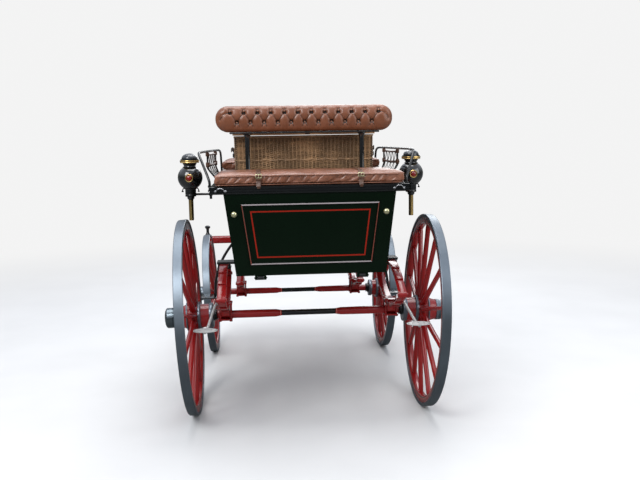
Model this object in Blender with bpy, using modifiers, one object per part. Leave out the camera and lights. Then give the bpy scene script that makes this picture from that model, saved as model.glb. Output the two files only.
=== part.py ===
"""Four-wheeled dog cart, in metres, +Z up, +Y the way it travels.

The origin is on the ground, in the middle of the cart's length and width.
Stations along the cart are measured forward from the rear axle.
"""

import math

import bmesh
import bpy
from mathutils import Matrix, Vector

# Gap that touching pieces keep
GAP = 0.0003

# Wheels
REAR_WHEEL_RADIUS = 0.560
FRONT_WHEEL_RADIUS = 0.434
REAR_HALF_TRACK = 0.686
FRONT_HALF_TRACK = 0.648
CAMBER = math.radians(2.5)
TYRE_WIDTH = 0.050
TYRE_DEPTH = 0.018
FELLOE_WIDTH = 0.044
FELLOE_DEPTH = 0.040
FELLOE_CHAMFER = 0.009
REAR_SPOKES = 14
FRONT_SPOKES = 12
REAR_WHEEL_SIDES = 44
FRONT_WHEEL_SIDES = 36
SPOKE_WIDTH = 0.030
SPOKE_DEPTH = 0.040
SPOKE_TAPER = 0.72
SPOKE_TENON = 0.004
WHEEL_DISH = 0.026
REAR_NAVE_SCALE = 1.0
FRONT_NAVE_SCALE = 0.86
NAVE_RADIUS = 0.075
NAVE_INNER_REACH = 0.136
NAVE_OUTER_REACH = 0.075
CAP_RADIUS = 0.058
CAP_LENGTH = 0.066
ARM_RADIUS = 0.022
ARM_CLEARANCE = 0.002

# Axles
AXLE_END_RADIUS = 0.0225
AXLE_MIDDLE_RADIUS = 0.016
REAR_SLIM_HALF = 0.155
FRONT_SLIM_HALF = 0.130
COLLAR_RADIUS = 0.034
COLLAR_LENGTH = 0.024

# Springs
LEAVES = 3
LEAF_THICKNESS = 0.007
LEAF_WIDTH = 0.046
LEAF_SHORTENING = 0.27
EYE_RADIUS = 0.015
EYE_WIDTH = 0.058
REAR_SPRING_INSET = 0.206
REAR_SPRING_HALF_LENGTH = 0.420
REAR_SPRING_TOP = 0.866
FRONT_SPRING_INSET = 0.224
FRONT_SPRING_HALF_LENGTH = 0.380
FRONT_SPRING_TOP = 0.655
SEAT_BLOCK_HEIGHT = 0.016
SEAT_HALF_LENGTH = 0.045
CLIP_THICKNESS = 0.008
CLIP_BOLT_RADIUS = 0.0045
CLIP_OVERHANG = 0.016
BRACKET_THICKNESS = 0.012
BRACKET_HEIGHT = 0.130

# Length of the cart, and stations ahead of the rear axle
CART_LENGTH = 2.3711
WHEELBASE_SHARE = 0.56219
TAIL_STATION = -0.370
BOOT_FRONT_STATION = 0.900
FLOOR_SETBACK = 0.003

# Body
BODY_BOTTOM = 0.852
BODY_TOP = 1.290
BODY_INSET = 0.080
BODY_FLARE = 0.056
BOARD = 0.020
TAILBOARD_THICKNESS = 0.022
TAILBOARD_CLEARANCE = 0.003
DECK_THICKNESS = 0.035
DECK_HALF_WIDTH = 0.510
RAIL_THICKNESS = 0.015
RAIL_OVERHANG = 0.008
RAIL_HEIGHT = 0.039
RAIL_FRONT_STATION = 0.100
FOOTWELL_SIDE_HEIGHT = 0.150
TOE_ANGLE = math.radians(38)
TOE_LENGTH = 0.300
TOE_CLEARANCE = 0.024
DASH_ANGLE = math.radians(66)
DASH_HEIGHT = 0.200
DASH_THICKNESS = 0.010

# Footman loops on the seat rail
LOOP_MARGIN = 0.040
LOOP_HALF = 0.025
LOOP_WIRE = 0.003
LOOP_DROP = 0.024

# Louvres in the boot's sides
LOUVRE_REAR_STATION = -0.230
LOUVRE_FRONT_STATION = 0.760
LOUVRE_BOTTOM = 0.960
LOUVRE_TOP = 1.220
LOUVRE_COUNT = 10
LOUVRE_THICKNESS = 0.006
LOUVRE_HALF_WIDTH = 0.0085
LOUVRE_TENON = 0.005
LOUVRE_TILT = math.radians(40)

# Tailboard fittings
MOULDING_TOP = 1.236
MOULDING_BOTTOM = 0.908
MOULDING_MARGIN_TOP = 0.0801
MOULDING_MARGIN_BOTTOM = 0.0812
MOULDING_WIDTH = 0.014
MOULDING_PROUD = 0.009
KNOB_MARGIN = 0.0389
KNOB_Z = 1.180
KNOB_RADIUS = 0.0155
HINGE_MARGIN = 0.128
HINGE_RADIUS = 0.011
HINGE_PIN_RADIUS = 0.0045
HINGE_PLAY = 0.0008
HINGE_FIXED_WIDTH = 0.032
HINGE_LEAF_WIDTH = 0.014
HINGE_TONGUE = 0.060

# Cushions and backrest
REAR_CUSHION_MARGIN = 0.006
REAR_CUSHION_REAR = -0.366
REAR_CUSHION_FRONT = 0.050
REAR_CUSHION_THICKNESS = 0.068
CUSHION_CROWN = 0.016
CUSHION_DRAW_IN = 0.012
BOLSTER_OVERHANG = 0.005
BOLSTER_STATION = 0.072
BOLSTER_TOP = 1.757
BOLSTER_HEIGHT = 0.148
BOLSTER_DEPTH = 0.104
BOLSTER_PITCH = 0.0825
BOLSTER_BUTTON_ROWS = 0.064
BOLSTER_ROWS_LIFT = 0.011
BOLSTER_TUFT = 0.012
BOLSTER_BOARD = 0.010
BOLSTER_BOARD_REAR = 0.032
BOLSTER_BOARD_FRONT = 0.036
POST_X = 0.330
POST_RADIUS = 0.014
POST_FLANGE = 0.025
POST_STATION = 0.080

# Hamper between the seats
HAMPER_HALF_WIDTH = 0.412
HAMPER_REAR = 0.145
HAMPER_FRONT = 0.450
HAMPER_TOP = 1.590
HAMPER_WALL = 0.012
HAMPER_TAPER = 0.004
HAMPER_LID = 0.020
LID_OVERHANG = 0.004

# Front seat
FRONT_BOX_REAR = 0.475
FRONT_BOX_FRONT = 0.885
FRONT_BOX_MARGIN = 0.040
FRONT_BOX_HEIGHT = 0.050
FRONT_CUSHION_MARGIN = 0.010
FRONT_CUSHION_THICKNESS = 0.070

# Side irons
IRON_RADIUS = 0.007
POST_IRON_RADIUS = 0.0056
IRON_TOP = 1.500
IRON_OVERHANG = 0.075
REAR_IRON_STATION = -0.250
MIDDLE_POST_STATION = 0.270
MIDDLE_POST_INSET = 0.012
FRONT_POST_STATION = 0.620
FRONT_POST_INSET = 0.040
FRONT_IRON_STATION = 0.840
FRONT_IRON_INSET = 0.065

# Lamps
LAMP_X = 0.700
LAMP_STATION = 0.500
GLOBE_Z = 1.335
GLOBE_RADIUS = 0.077
LAMP_TOP = 1.486
LAMP_TUBE_BOTTOM = 1.066
LAMP_TUBE_RADIUS = 0.015
LAMP_SOCKET_RADIUS = 0.0225
LAMP_COLLAR_RADIUS = 0.034
LAMP_RING_CLEARANCE = 0.0012
LAMP_RING_HEIGHT = 0.026
LAMP_BORE = 0.011
LAMP_WALL = 0.006
BRACKET_BAR = 0.014
BRACKET_DEPTH = 0.012
BRACKET_FLANGE = 0.030
BRACKET_FLANGE_DEPTH = 0.010
STAY_RADIUS = 0.008
STAY_SETBACK = 0.010
STAY_DROP = 0.024
STAY_RISE = 0.030
FRONT_LENS_RADIUS = 0.058
REAR_LENS_RADIUS = 0.025
LENS_PROUD = 0.010

# Steps
REAR_STEP_X = 0.570
REAR_STEP_STATION = -0.400
REAR_STEP_Z = 0.572
REAR_STEP_SIZE = (0.130, 0.088)
REAR_HOLE_SIZE = (0.016, 0.015)
REAR_HOLE_SHIFTS = (-0.031, 0.031)
FRONT_STEP_X = 0.618
FRONT_STEP_STATION = 0.700
FRONT_STEP_Z = 0.530
FRONT_STEP_SIZE = (0.110, 0.140)
STEP_THICKNESS = 0.006
STEP_ROD_RADIUS = 0.009
STEP_LEAD = 0.030
REAR_STEP_ROD_RADIUS = 0.0075
REAR_STEP_CREST = (0.018, 0.052, 0.018)
REAR_STEP_FALL = (0.010, 0.070, 0.005)
REAR_STEP_LEVEL = (0.004, 0.034)
REAR_STEP_HOLD = 0.025
FRONT_STEP_RISE = 0.050
FRONT_STEP_OUT = 0.060
FRONT_STEP_BENDS = ((0.088, 0.242), (0.048, 0.120), (0.038, 0.020), (0.038, 0.002))

# Fore carriage
BED_OVERHANG = 0.038
BED_HALF_DEPTH = 0.040
BED_HEIGHT = 0.035
FUTCHELL_HEIGHT = 0.035
FUTCHELL_WIDTH = 0.040
FUTCHELL_REAR_X = 0.165
FUTCHELL_FRONT_X = 0.075
FUTCHELL_TAIL = 0.260
FIFTH_WHEEL_RADIUS = 0.220
FIFTH_WHEEL_WIDTH = 0.032
FIFTH_WHEEL_THICKNESS = 0.012
TRANSOM_HALF_WIDTH = 0.340
TRANSOM_HALF_DEPTH = 0.045
KINGPIN_RADIUS = 0.012
KINGPIN_CLEARANCE = 0.0015
KINGPIN_DEPTH = 0.030
KINGPIN_HEAD = 0.021
SPLINTER_SETBACK = 0.050
SPLINTER_HALF_WIDTH = 0.722
SPLINTER_DEPTH = 0.060
SPLINTER_TOP = 0.805
SPLINTER_THICKNESS = 0.055
ROLLER_X = 0.690
ROLLER_HEIGHT = 0.086
ROLLER_RADIUS = 0.021

# Values worked out from the sizes above
REAR_REACH = REAR_WHEEL_RADIUS + TYRE_WIDTH / 2 * math.tan(CAMBER)
FRONT_REACH = CART_LENGTH - REAR_REACH
WHEELBASE = CART_LENGTH * WHEELBASE_SHARE
FLOOR_FRONT_STATION = WHEELBASE - FLOOR_SETBACK
SPLINTER_STATION = FRONT_REACH - SPLINTER_SETBACK
REAR_SPRING_X = REAR_HALF_TRACK - REAR_SPRING_INSET
FRONT_SPRING_X = FRONT_HALF_TRACK - FRONT_SPRING_INSET
BODY_HALF_BOTTOM = REAR_SPRING_X - BODY_INSET
BODY_HALF_TOP = BODY_HALF_BOTTOM + BODY_FLARE
TOE_HALF_WIDTH = BODY_HALF_BOTTOM - TOE_CLEARANCE
BED_HALF_WIDTH = FRONT_SPRING_X + BED_OVERHANG
BOLSTER_BOTTOM = BOLSTER_TOP - BOLSTER_HEIGHT
LOOP_X = DECK_HALF_WIDTH - LOOP_MARGIN
HINGE_X = BODY_HALF_BOTTOM - HINGE_MARGIN
REAR_CUSHION_HALF_WIDTH = DECK_HALF_WIDTH - REAR_CUSHION_MARGIN
IRON_SPREAD = DECK_HALF_WIDTH + IRON_OVERHANG
BOLSTER_HALF_WIDTH = DECK_HALF_WIDTH + BOLSTER_OVERHANG
FRONT_BOX_HALF_WIDTH = DECK_HALF_WIDTH - FRONT_BOX_MARGIN
FRONT_CUSHION_HALF_WIDTH = DECK_HALF_WIDTH - FRONT_CUSHION_MARGIN
REAR_AXLE_Y = (REAR_REACH - FRONT_REACH) / 2
FRONT_AXLE_Y = REAR_AXLE_Y + WHEELBASE
DECK_BOTTOM = BODY_TOP + GAP
DECK_TOP = DECK_BOTTOM + DECK_THICKNESS
TAILBOARD_TOP = BODY_TOP - 0.002 - TAILBOARD_CLEARANCE
TAIL_INNER = TAIL_STATION + TAILBOARD_THICKNESS + GAP
HINGE_PIN_Z = BODY_BOTTOM - HINGE_RADIUS - 0.003
HINGE_PIN_STATION = TAIL_STATION + TAILBOARD_THICKNESS / 2
RAIL_TOP = DECK_TOP
RAIL_FACE = REAR_AXLE_Y + TAIL_STATION - RAIL_OVERHANG
DECK_REAR = RAIL_FACE + RAIL_THICKNESS + GAP
CUSHION_BOTTOM = DECK_TOP + GAP
SIDE_SLOPE = math.atan2(BODY_HALF_TOP - BODY_HALF_BOTTOM, BODY_TOP - BODY_BOTTOM)
FRONT_SEAT_TOP = DECK_TOP + GAP + FRONT_BOX_HEIGHT
REAR_WHEEL_Z = REAR_WHEEL_RADIUS * math.cos(CAMBER)
FRONT_WHEEL_Z = FRONT_WHEEL_RADIUS * math.cos(CAMBER)
BED_BOTTOM = FRONT_SPRING_TOP + GAP
LOWER_RING_BOTTOM = BED_BOTTOM + BED_HEIGHT + FUTCHELL_HEIGHT + GAP
UPPER_RING_BOTTOM = LOWER_RING_BOTTOM + FIFTH_WHEEL_THICKNESS + GAP
TRANSOM_BOTTOM = UPPER_RING_BOTTOM + FIFTH_WHEEL_THICKNESS + GAP
LAMP_RING_TOP = GLOBE_Z - 0.092

PARTS = None
CUTTERS = None

# Colour, roughness and metallic value of each finish
FINISHES = {
    "tyre_iron": ((0.10, 0.115, 0.135), 0.45, 0.8),
    "red_paint": ((0.20, 0.022, 0.020), 0.30, 0.0),
    "black_iron": ((0.012, 0.012, 0.013), 0.30, 0.3),
    "green_paint": ((0.010, 0.018, 0.013), 0.22, 0.0),
    "brown_leather": ((0.125, 0.055, 0.038), 0.45, 0.0),
    "wicker": ((0.24, 0.13, 0.055), 0.65, 0.0),
    "brass": ((0.78, 0.58, 0.24), 0.28, 1.0),
    "steel": ((0.42, 0.43, 0.45), 0.35, 1.0),
    "wood": ((0.22, 0.13, 0.07), 0.55, 0.0),
}


def ahead(station):
    """World Y of a station measured forward from the rear axle."""
    return REAR_AXLE_Y + station


def body_half(height):
    """Half width of the body's outer face at a height."""
    share = (height - BODY_BOTTOM) / (BODY_TOP - BODY_BOTTOM)
    return BODY_HALF_BOTTOM + (BODY_HALF_TOP - BODY_HALF_BOTTOM) * share


def clear_scene():
    """Take every object out of the file."""
    for item in list(bpy.data.objects):
        bpy.data.objects.remove(item, do_unlink=True)


def make_collections():
    """One collection for the cart's parts and one for the cutters."""
    global PARTS, CUTTERS
    PARTS = bpy.data.collections.new("dog_cart")
    CUTTERS = bpy.data.collections.new("cutters")
    bpy.context.scene.collection.children.link(PARTS)
    bpy.context.scene.collection.children.link(CUTTERS)


def finish(name, node):
    """Principled material of one node, with the colours of a named finish."""
    colour, roughness, metallic = FINISHES[name]
    material = bpy.data.materials.new(node)
    material.use_nodes = True
    shader = material.node_tree.nodes["Principled BSDF"]
    shader.inputs["Base Color"].default_value = (*colour, 1.0)
    shader.inputs["Roughness"].default_value = roughness
    shader.inputs["Metallic"].default_value = metallic
    material.diffuse_color = (*colour, 1.0)
    return material


def add_object(data, place=Matrix()):
    """New object in the parts collection, at a place given as a matrix."""
    shape = bpy.data.objects.new("shape", data)
    PARTS.objects.link(shape)
    shape.matrix_world = place
    return shape


def mesh_object(cage, place=Matrix()):
    """New object from a bmesh, which is freed."""
    bmesh.ops.recalc_face_normals(cage, faces=cage.faces[:])
    mesh = bpy.data.meshes.new("shape")
    cage.to_mesh(mesh)
    cage.free()
    return add_object(mesh, place)


def box(low, high, bevel=0.0, place=Matrix()):
    """Rectangular block from its lowest to its highest corner."""
    size = Vector(high) - Vector(low)
    centre = (Vector(high) + Vector(low)) / 2
    cage = bmesh.new()
    bmesh.ops.create_cube(cage, size=1.0, matrix=Matrix.Translation(centre) @ Matrix.Diagonal((*size, 1.0)))
    if bevel:
        bmesh.ops.bevel(cage, geom=cage.edges[:], offset=bevel, segments=1, affect="EDGES")
    return mesh_object(cage, place)


def rod(start, end, radius, sides=10):
    """Straight round bar between two points."""
    run = Vector(end) - Vector(start)
    middle = (Vector(end) + Vector(start)) / 2
    turn = Vector((0, 0, 1)).rotation_difference(run).to_matrix().to_4x4()
    cage = bmesh.new()
    bmesh.ops.create_cone(cage, cap_ends=True, segments=sides, radius1=radius, radius2=radius,
                          depth=run.length, matrix=Matrix.Translation(middle) @ turn)
    return mesh_object(cage)


def turned(profile, steps, place=Matrix(), ring=False):
    """Profile of (radius, height) points, top to bottom on its outer side, spun about local Z."""
    mesh = bpy.data.meshes.new("profile")
    edges = [(i, i + 1) for i in range(len(profile) - 1)]
    if ring:
        edges.append((len(profile) - 1, 0))
    mesh.from_pydata([(radius, 0, height) for radius, height in profile], edges, [])
    shape = add_object(mesh, place)
    screw = shape.modifiers.new("Turn", "SCREW")
    screw.axis = "Z"
    screw.steps = steps
    screw.render_steps = steps
    screw.use_merge_vertices = True
    screw.merge_threshold = 0.00005
    return shape


def plate(outline, thickness, plane, centre, holes=()):
    """Flat outline in the XY, YZ or XZ plane, with its thickness across that plane at a centre."""
    curve = bpy.data.curves.new("outline", "CURVE")
    curve.dimensions = "2D"
    curve.fill_mode = "BOTH"
    curve.extrude = thickness / 2
    for loop in (outline, *holes):
        spline = curve.splines.new("POLY")
        spline.points.add(len(loop) - 1)
        for point, (across, up) in zip(spline.points, loop):
            point.co = (across, up, 0, 1)
        spline.use_cyclic_u = True
    axes = {"XY": ((1, 0, 0), (0, 1, 0), (0, 0, 1)),
            "YZ": ((0, 1, 0), (0, 0, 1), (1, 0, 0)),
            "XZ": ((1, 0, 0), (0, 0, 1), (0, -1, 0))}[plane]
    turn = Matrix(axes).transposed().to_4x4()
    normal = Vector(axes[2])
    return add_object(curve, Matrix.Translation(normal * (normal.dot(Vector(centre)))) @ turn)


def smooth_path(points, spacing):
    """Points about a spacing apart along a smooth curve through chosen points."""
    nodes = [Vector(point) for point in points]
    nodes = [2 * nodes[0] - nodes[1], *nodes, 2 * nodes[-1] - nodes[-2]]
    path = []
    for before, start, end, after in zip(nodes, nodes[1:], nodes[2:], nodes[3:]):
        count = max(1, round((end - start).length / spacing))
        for i in range(count):
            t = i / count
            path.append(0.5 * (2 * start + (end - before) * t
                               + (2 * before - 5 * start + 4 * end - after) * t * t
                               + (3 * start - before - 3 * end + after) * t * t * t))
    path.append(nodes[-2])
    return path


def tube(points, radius, resolution=1):
    """Round bar that follows a list of points."""
    curve = bpy.data.curves.new("path", "CURVE")
    curve.dimensions = "3D"
    curve.bevel_depth = radius
    curve.bevel_resolution = resolution
    curve.use_fill_caps = True
    spline = curve.splines.new("POLY")
    spline.points.add(len(points) - 1)
    for point, place in zip(spline.points, points):
        point.co = (*place, 1)
    return add_object(curve)


def evaluated_mesh(shape):
    """Mesh of an object with its modifiers, in world space, with its caps welded."""
    bpy.context.view_layer.update()
    depsgraph = bpy.context.evaluated_depsgraph_get()
    mesh = bpy.data.meshes.new_from_object(shape.evaluated_get(depsgraph), depsgraph=depsgraph)
    mesh.transform(shape.matrix_world)
    cage = bmesh.new()
    cage.from_mesh(mesh)
    bmesh.ops.remove_doubles(cage, verts=cage.verts[:], dist=0.00002)
    cage.to_mesh(mesh)
    cage.free()
    return mesh


def as_mesh(shape):
    """The same shape as a plain mesh object."""
    solid = add_object(evaluated_mesh(shape))
    bpy.data.objects.remove(shape, do_unlink=True)
    return solid


def boolean(shape, other, operation):
    """Cut a shape by a cutter, or join another shape to it, and return the result."""
    tool = as_mesh(other)
    PARTS.objects.unlink(tool)
    CUTTERS.objects.link(tool)
    tool.hide_render = True
    tool.display_type = "WIRE"
    target = as_mesh(shape)
    modifier = target.modifiers.new("Cut", "BOOLEAN")
    modifier.operation = operation
    modifier.solver = "EXACT"
    modifier.object = tool
    solid = as_mesh(target)
    bpy.data.objects.remove(tool, do_unlink=True)
    return solid


def cut(shape, cutter):
    """The shape with the cutter's space taken out."""
    return boolean(shape, cutter, "DIFFERENCE")


def together(shapes):
    """Shapes that don't touch, gathered in one mesh so that one union can join them to something."""
    cage = bmesh.new()
    for shape in shapes:
        mesh = evaluated_mesh(shape)
        cage.from_mesh(mesh)
        bpy.data.meshes.remove(mesh)
        bpy.data.objects.remove(shape, do_unlink=True)
    mesh = bpy.data.meshes.new("together")
    cage.to_mesh(mesh)
    cage.free()
    return add_object(mesh)


def union(first, *others):
    """One body from shapes that run into each other, joined in turn."""
    solid = first
    for other in others:
        solid = boolean(solid, other, "UNION")
    return solid


def node(name, colour, shape, smooth=True):
    """Turn a shape into one named object with its own material."""
    mesh = evaluated_mesh(shape)
    bpy.data.objects.remove(shape, do_unlink=True)
    mesh.name = name
    if smooth:
        mesh.shade_smooth()
        mesh.set_sharp_from_angle(angle=math.radians(32))
    mesh.materials.clear()
    mesh.materials.append(finish(colour, name))
    part = bpy.data.objects.new(name, mesh)
    PARTS.objects.link(part)
    return part


def hang_on(parts, pivot_name, place):
    """Parent moving parts to an empty on their joint's axis, where they are."""
    pivot = bpy.data.objects.new(pivot_name, None)
    pivot.empty_display_size = 0.05
    pivot.matrix_world = place
    PARTS.objects.link(pivot)
    for part in parts:
        part.parent = pivot
        part.matrix_parent_inverse = place.inverted()
    return pivot


def circle(centre, radius, count, start=0.0, end=math.tau):
    """Points around an arc, without the last one when the arc is a full turn."""
    full = abs(end - start - math.tau) < 1e-6
    steps = count if full else count - 1
    return [(centre[0] + radius * math.cos(start + (end - start) * i / steps),
             centre[1] + radius * math.sin(start + (end - start) * i / steps)) for i in range(count)]


# Wheels


def wheel_place(side, half_track, station, height):
    """Matrix of a wheel: local Z points out along the axle arm, at the middle of the rim."""
    outward = Vector((side * math.cos(CAMBER), 0, -math.sin(CAMBER)))
    forward = Vector((0, side, 0))
    up = outward.cross(forward)
    turn = Matrix((forward, up, outward)).transposed()
    # the cross product gives local X forward, local Y across it and local Z outward
    return Matrix.Translation((side * half_track, station, height)) @ turn.to_4x4()


def make_spokes(radius_in, radius_out, count, place):
    """Tapered oval spokes, leaning outward from the nave to the rim by the dish."""
    shapes = []
    length = radius_out - radius_in
    for i in range(count):
        angle = math.tau * (i + 0.5) / count
        cage = bmesh.new()
        stand = Matrix.Translation((radius_in + length / 2, 0, 0))
        stand = stand @ Matrix.Rotation(math.radians(90), 4, "Y")
        bmesh.ops.create_cone(cage, cap_ends=True, segments=6, radius1=0.5, radius2=0.5 * SPOKE_TAPER,
                              depth=length, matrix=stand)
        for vert in cage.verts:
            lean = WHEEL_DISH * (radius_out - vert.co.x) / length
            vert.co.y *= SPOKE_WIDTH
            vert.co.z = vert.co.z * SPOKE_DEPTH - lean
        shapes.append(mesh_object(cage, place @ Matrix.Rotation(angle, 4, "Z")))
    return shapes


def make_wheel(prefix, place, radius, steps, spokes, scale):
    """One wheel: tyre, rim, and a hub of nave, spokes and cap, all turned about the wheel's axis."""
    slope = math.tan(CAMBER)
    half = TYRE_WIDTH / 2
    rim_out = radius - TYRE_DEPTH - GAP
    rim_in = rim_out - FELLOE_DEPTH
    tyre_in = radius - TYRE_DEPTH + GAP
    tyre = [(radius - half * slope, half), (radius + half * slope, -half), (tyre_in, -half), (tyre_in, half)]
    wide = FELLOE_WIDTH / 2
    rim = [(rim_out, wide), (rim_out, -wide), (rim_in + FELLOE_CHAMFER, -wide),
           (rim_in, FELLOE_CHAMFER - wide), (rim_in, wide - FELLOE_CHAMFER), (rim_in + FELLOE_CHAMFER, wide)]
    rim_reach = rim_in * math.cos(math.pi / steps) - GAP
    nave_radius = NAVE_RADIUS * scale
    spoke_shapes = make_spokes(nave_radius - SPOKE_TENON, rim_reach, spokes, place)
    nave = turned(nave_profile(nave_radius, scale), 14, place, ring=True)
    cap = turned(cap_profile(scale), 12, place)
    hub = union(nave, together(spoke_shapes), cap)
    nodes = [
        node(prefix + "_tyre", "tyre_iron", turned(tyre, steps, place, ring=True)),
        node(prefix + "_rim", "red_paint", turned(rim, steps, place, ring=True)),
        node(prefix + "_hub", "red_paint", hub),
    ]
    hang_on(nodes, prefix + "_axis", place)
    return nodes


def nave_profile(nave_radius, scale):
    """Outline of the turned nave with its raised hoops and the bore for the axle arm."""
    bore = ARM_RADIUS + ARM_CLEARANCE
    inner = -NAVE_INNER_REACH * scale
    outer = NAVE_OUTER_REACH * scale
    band = nave_radius + 0.006
    return [(nave_radius - 0.020, outer), (nave_radius - 0.004, 0.010), (band, 0.009), (band, -0.001),
            (nave_radius, -0.002), (nave_radius, -0.052), (band, -0.053), (band, -0.066),
            (nave_radius - 0.009, inner + 0.020), (nave_radius - 0.005, inner + 0.019),
            (nave_radius - 0.005, inner), (bore, inner), (bore, outer)]


def cap_profile(scale):
    """Outline of the round cap that closes the nave's outer end."""
    base = NAVE_OUTER_REACH * scale - 0.003
    top = NAVE_OUTER_REACH * scale + CAP_LENGTH * scale
    radius = CAP_RADIUS * scale
    flange = radius + 0.002
    return [(0, top), (radius * 0.72, top - 0.002), (radius, top - 0.010), (radius, base + 0.016),
            (flange, base + 0.014), (flange, base), (0, base)]


def make_wheels():
    """Four wheels on canted arms."""
    for side, hand in ((-1, "left"), (1, "right")):
        rear = wheel_place(side, REAR_HALF_TRACK, REAR_AXLE_Y, REAR_WHEEL_Z)
        front = wheel_place(side, FRONT_HALF_TRACK, FRONT_AXLE_Y, FRONT_WHEEL_Z)
        make_wheel("rear_" + hand + "_wheel", rear, REAR_WHEEL_RADIUS, REAR_WHEEL_SIDES, REAR_SPOKES,
                   REAR_NAVE_SCALE)
        make_wheel("front_" + hand + "_wheel", front, FRONT_WHEEL_RADIUS, FRONT_WHEEL_SIDES, FRONT_SPOKES,
                   FRONT_NAVE_SCALE)


# Axles, spring seats and springs


def axle_height(wheel_z, half_track, scale):
    """Height of the axle bar, where the canted arms meet it."""
    return wheel_z + (half_track - arm_root(half_track, scale)) * math.tan(CAMBER)


def arm_root(half_track, scale):
    """Half width at which the nave's inner face stands, and the collar ends."""
    return half_track - NAVE_INNER_REACH * scale * math.cos(CAMBER)


def make_axle(station, wheel_z, half_track, scale, slim_half):
    """Axle bar with thick ends, collars and canted arms, joined into one forging."""
    height = axle_height(wheel_z, half_track, scale)
    root = arm_root(half_track, scale) - COLLAR_LENGTH / 2
    profile = [(0, root), (AXLE_END_RADIUS, root), (AXLE_END_RADIUS, slim_half + 0.03),
               (AXLE_MIDDLE_RADIUS, slim_half), (AXLE_MIDDLE_RADIUS, -slim_half),
               (AXLE_END_RADIUS, -slim_half - 0.03), (AXLE_END_RADIUS, -root), (0, -root)]
    lie = Matrix.Rotation(math.radians(90), 4, "Y")
    bar = turned(profile, 10, Matrix.Translation((0, station, height)) @ lie)
    for side in (-1, 1):
        place = wheel_place(side, half_track, station, wheel_z)
        inner = -NAVE_INNER_REACH * scale - GAP
        outer = NAVE_OUTER_REACH * scale - 0.006
        arm = [(0, outer), (ARM_RADIUS, outer), (ARM_RADIUS, inner), (COLLAR_RADIUS, inner),
               (COLLAR_RADIUS, inner - COLLAR_LENGTH), (0, inner - COLLAR_LENGTH)]
        bar = union(bar, turned(arm, 12, place))
    return bar


def spring_bottom(wheel_z, half_track, scale):
    """Lowest face of a spring, on its seat block on the axle bar."""
    return axle_height(wheel_z, half_track, scale) + AXLE_END_RADIUS + GAP + SEAT_BLOCK_HEIGHT + GAP


def pack_height():
    """Height of the stacked leaves at the middle of a spring."""
    return LEAVES * LEAF_THICKNESS


def seat_shapes(x, station, axle_z, bottom):
    """Seat block, plates and bolts that clamp one spring to the axle bar, each running into the next."""
    half = LEAF_WIDTH / 2
    wide = half + CLIP_OVERHANG
    under = axle_z - AXLE_END_RADIUS * 0.9
    over = bottom + pack_height() + GAP
    rear = station - SEAT_HALF_LENGTH
    front = station + SEAT_HALF_LENGTH
    block = box((x - half, rear, axle_z), (x + half, front, bottom - GAP))
    foot = box((x - wide, rear, under - CLIP_THICKNESS), (x + wide, front, under))
    cover = box((x - wide, rear, over), (x + wide, front, over + CLIP_THICKNESS))
    bolts = clip_bolts(x, station, under - CLIP_THICKNESS / 2, over + CLIP_THICKNESS / 2)
    return [block, together([foot, cover]), together(bolts)]


def clip_bolts(x, station, low, high):
    """Four upright bolts round a spring's leaves."""
    bolts = []
    for across in (-1, 1):
        for along in (-1, 1):
            bolt_x = x + across * (LEAF_WIDTH / 2 + CLIP_OVERHANG / 2)
            bolt_y = station + along * (SEAT_HALF_LENGTH - 2 * CLIP_BOLT_RADIUS)
            bolts.append(rod((bolt_x, bolt_y, low), (bolt_x, bolt_y, high), CLIP_BOLT_RADIUS, 6))
    return bolts


def top_clip_shapes(x, station, top):
    """Plate under the spring's upper leaves, and the bolts that hang it from the piece above."""
    wide = LEAF_WIDTH / 2 + CLIP_OVERHANG
    under = top - pack_height() - GAP
    plate_low = under - CLIP_THICKNESS
    shapes = [box((x - wide, station - SEAT_HALF_LENGTH, plate_low),
                  (x + wide, station + SEAT_HALF_LENGTH, under))]
    shapes.append(together(clip_bolts(x, station, plate_low + CLIP_THICKNESS / 2, top + CLIP_THICKNESS)))
    return shapes


def spring_edge(half_length, rise, lift, reach, count):
    """Points along one face of the leaves: level under the clips, then curving out to the reach."""
    arm = half_length - SEAT_HALF_LENGTH
    row = []
    for i in range(count + 1):
        out = (half_length * reach - SEAT_HALF_LENGTH) * i / count
        slope = 2 * rise * out / arm ** 2
        length = math.hypot(1, slope)
        along = SEAT_HALF_LENGTH + out + lift * slope / length
        row.append((along, rise * (1 - (out / arm) ** 2) + lift / length))
    return [(-along, height) for along, height in reversed(row)] + row


def make_spring(name, x, station, half_length, bottom, top):
    """Full elliptic spring: stepped upper and lower leaves that meet at two rolled eyes."""
    middle = (top + bottom) / 2
    rise = (top - bottom) / 2 - pack_height()
    outside = spring_edge(half_length, rise, LEAF_THICKNESS, 1.0, 6)
    for i in range(1, LEAVES):
        reach = 1 - LEAF_SHORTENING * i
        lift = LEAF_THICKNESS * (i + 1)
        step = spring_edge(half_length, rise, lift, reach, 5 - i)
        before = [p for p in outside if p[0] < step[0][0]]
        outside = before + step + [p for p in outside if p[0] > step[-1][0]]
    inside = spring_edge(half_length, rise, 0.0, 1 - EYE_RADIUS * 0.8 / half_length, 6)
    outer = [(station + y, middle + z) for y, z in outside]
    outer += [(station + y, middle - z) for y, z in reversed(outside)]
    inner = [(station + y, middle + z) for y, z in inside]
    inner += [(station + y, middle - z) for y, z in reversed(inside)]
    eyes = []
    for end in (-1, 1):
        y = station + end * half_length
        eyes.append(rod((x - EYE_WIDTH / 2, y, middle), (x + EYE_WIDTH / 2, y, middle), EYE_RADIUS, 12))
    leaves = plate(outer, LEAF_WIDTH, "YZ", (x, 0, 0), [inner])
    return node(name, "red_paint", union(leaves, together(eyes)))


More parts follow.
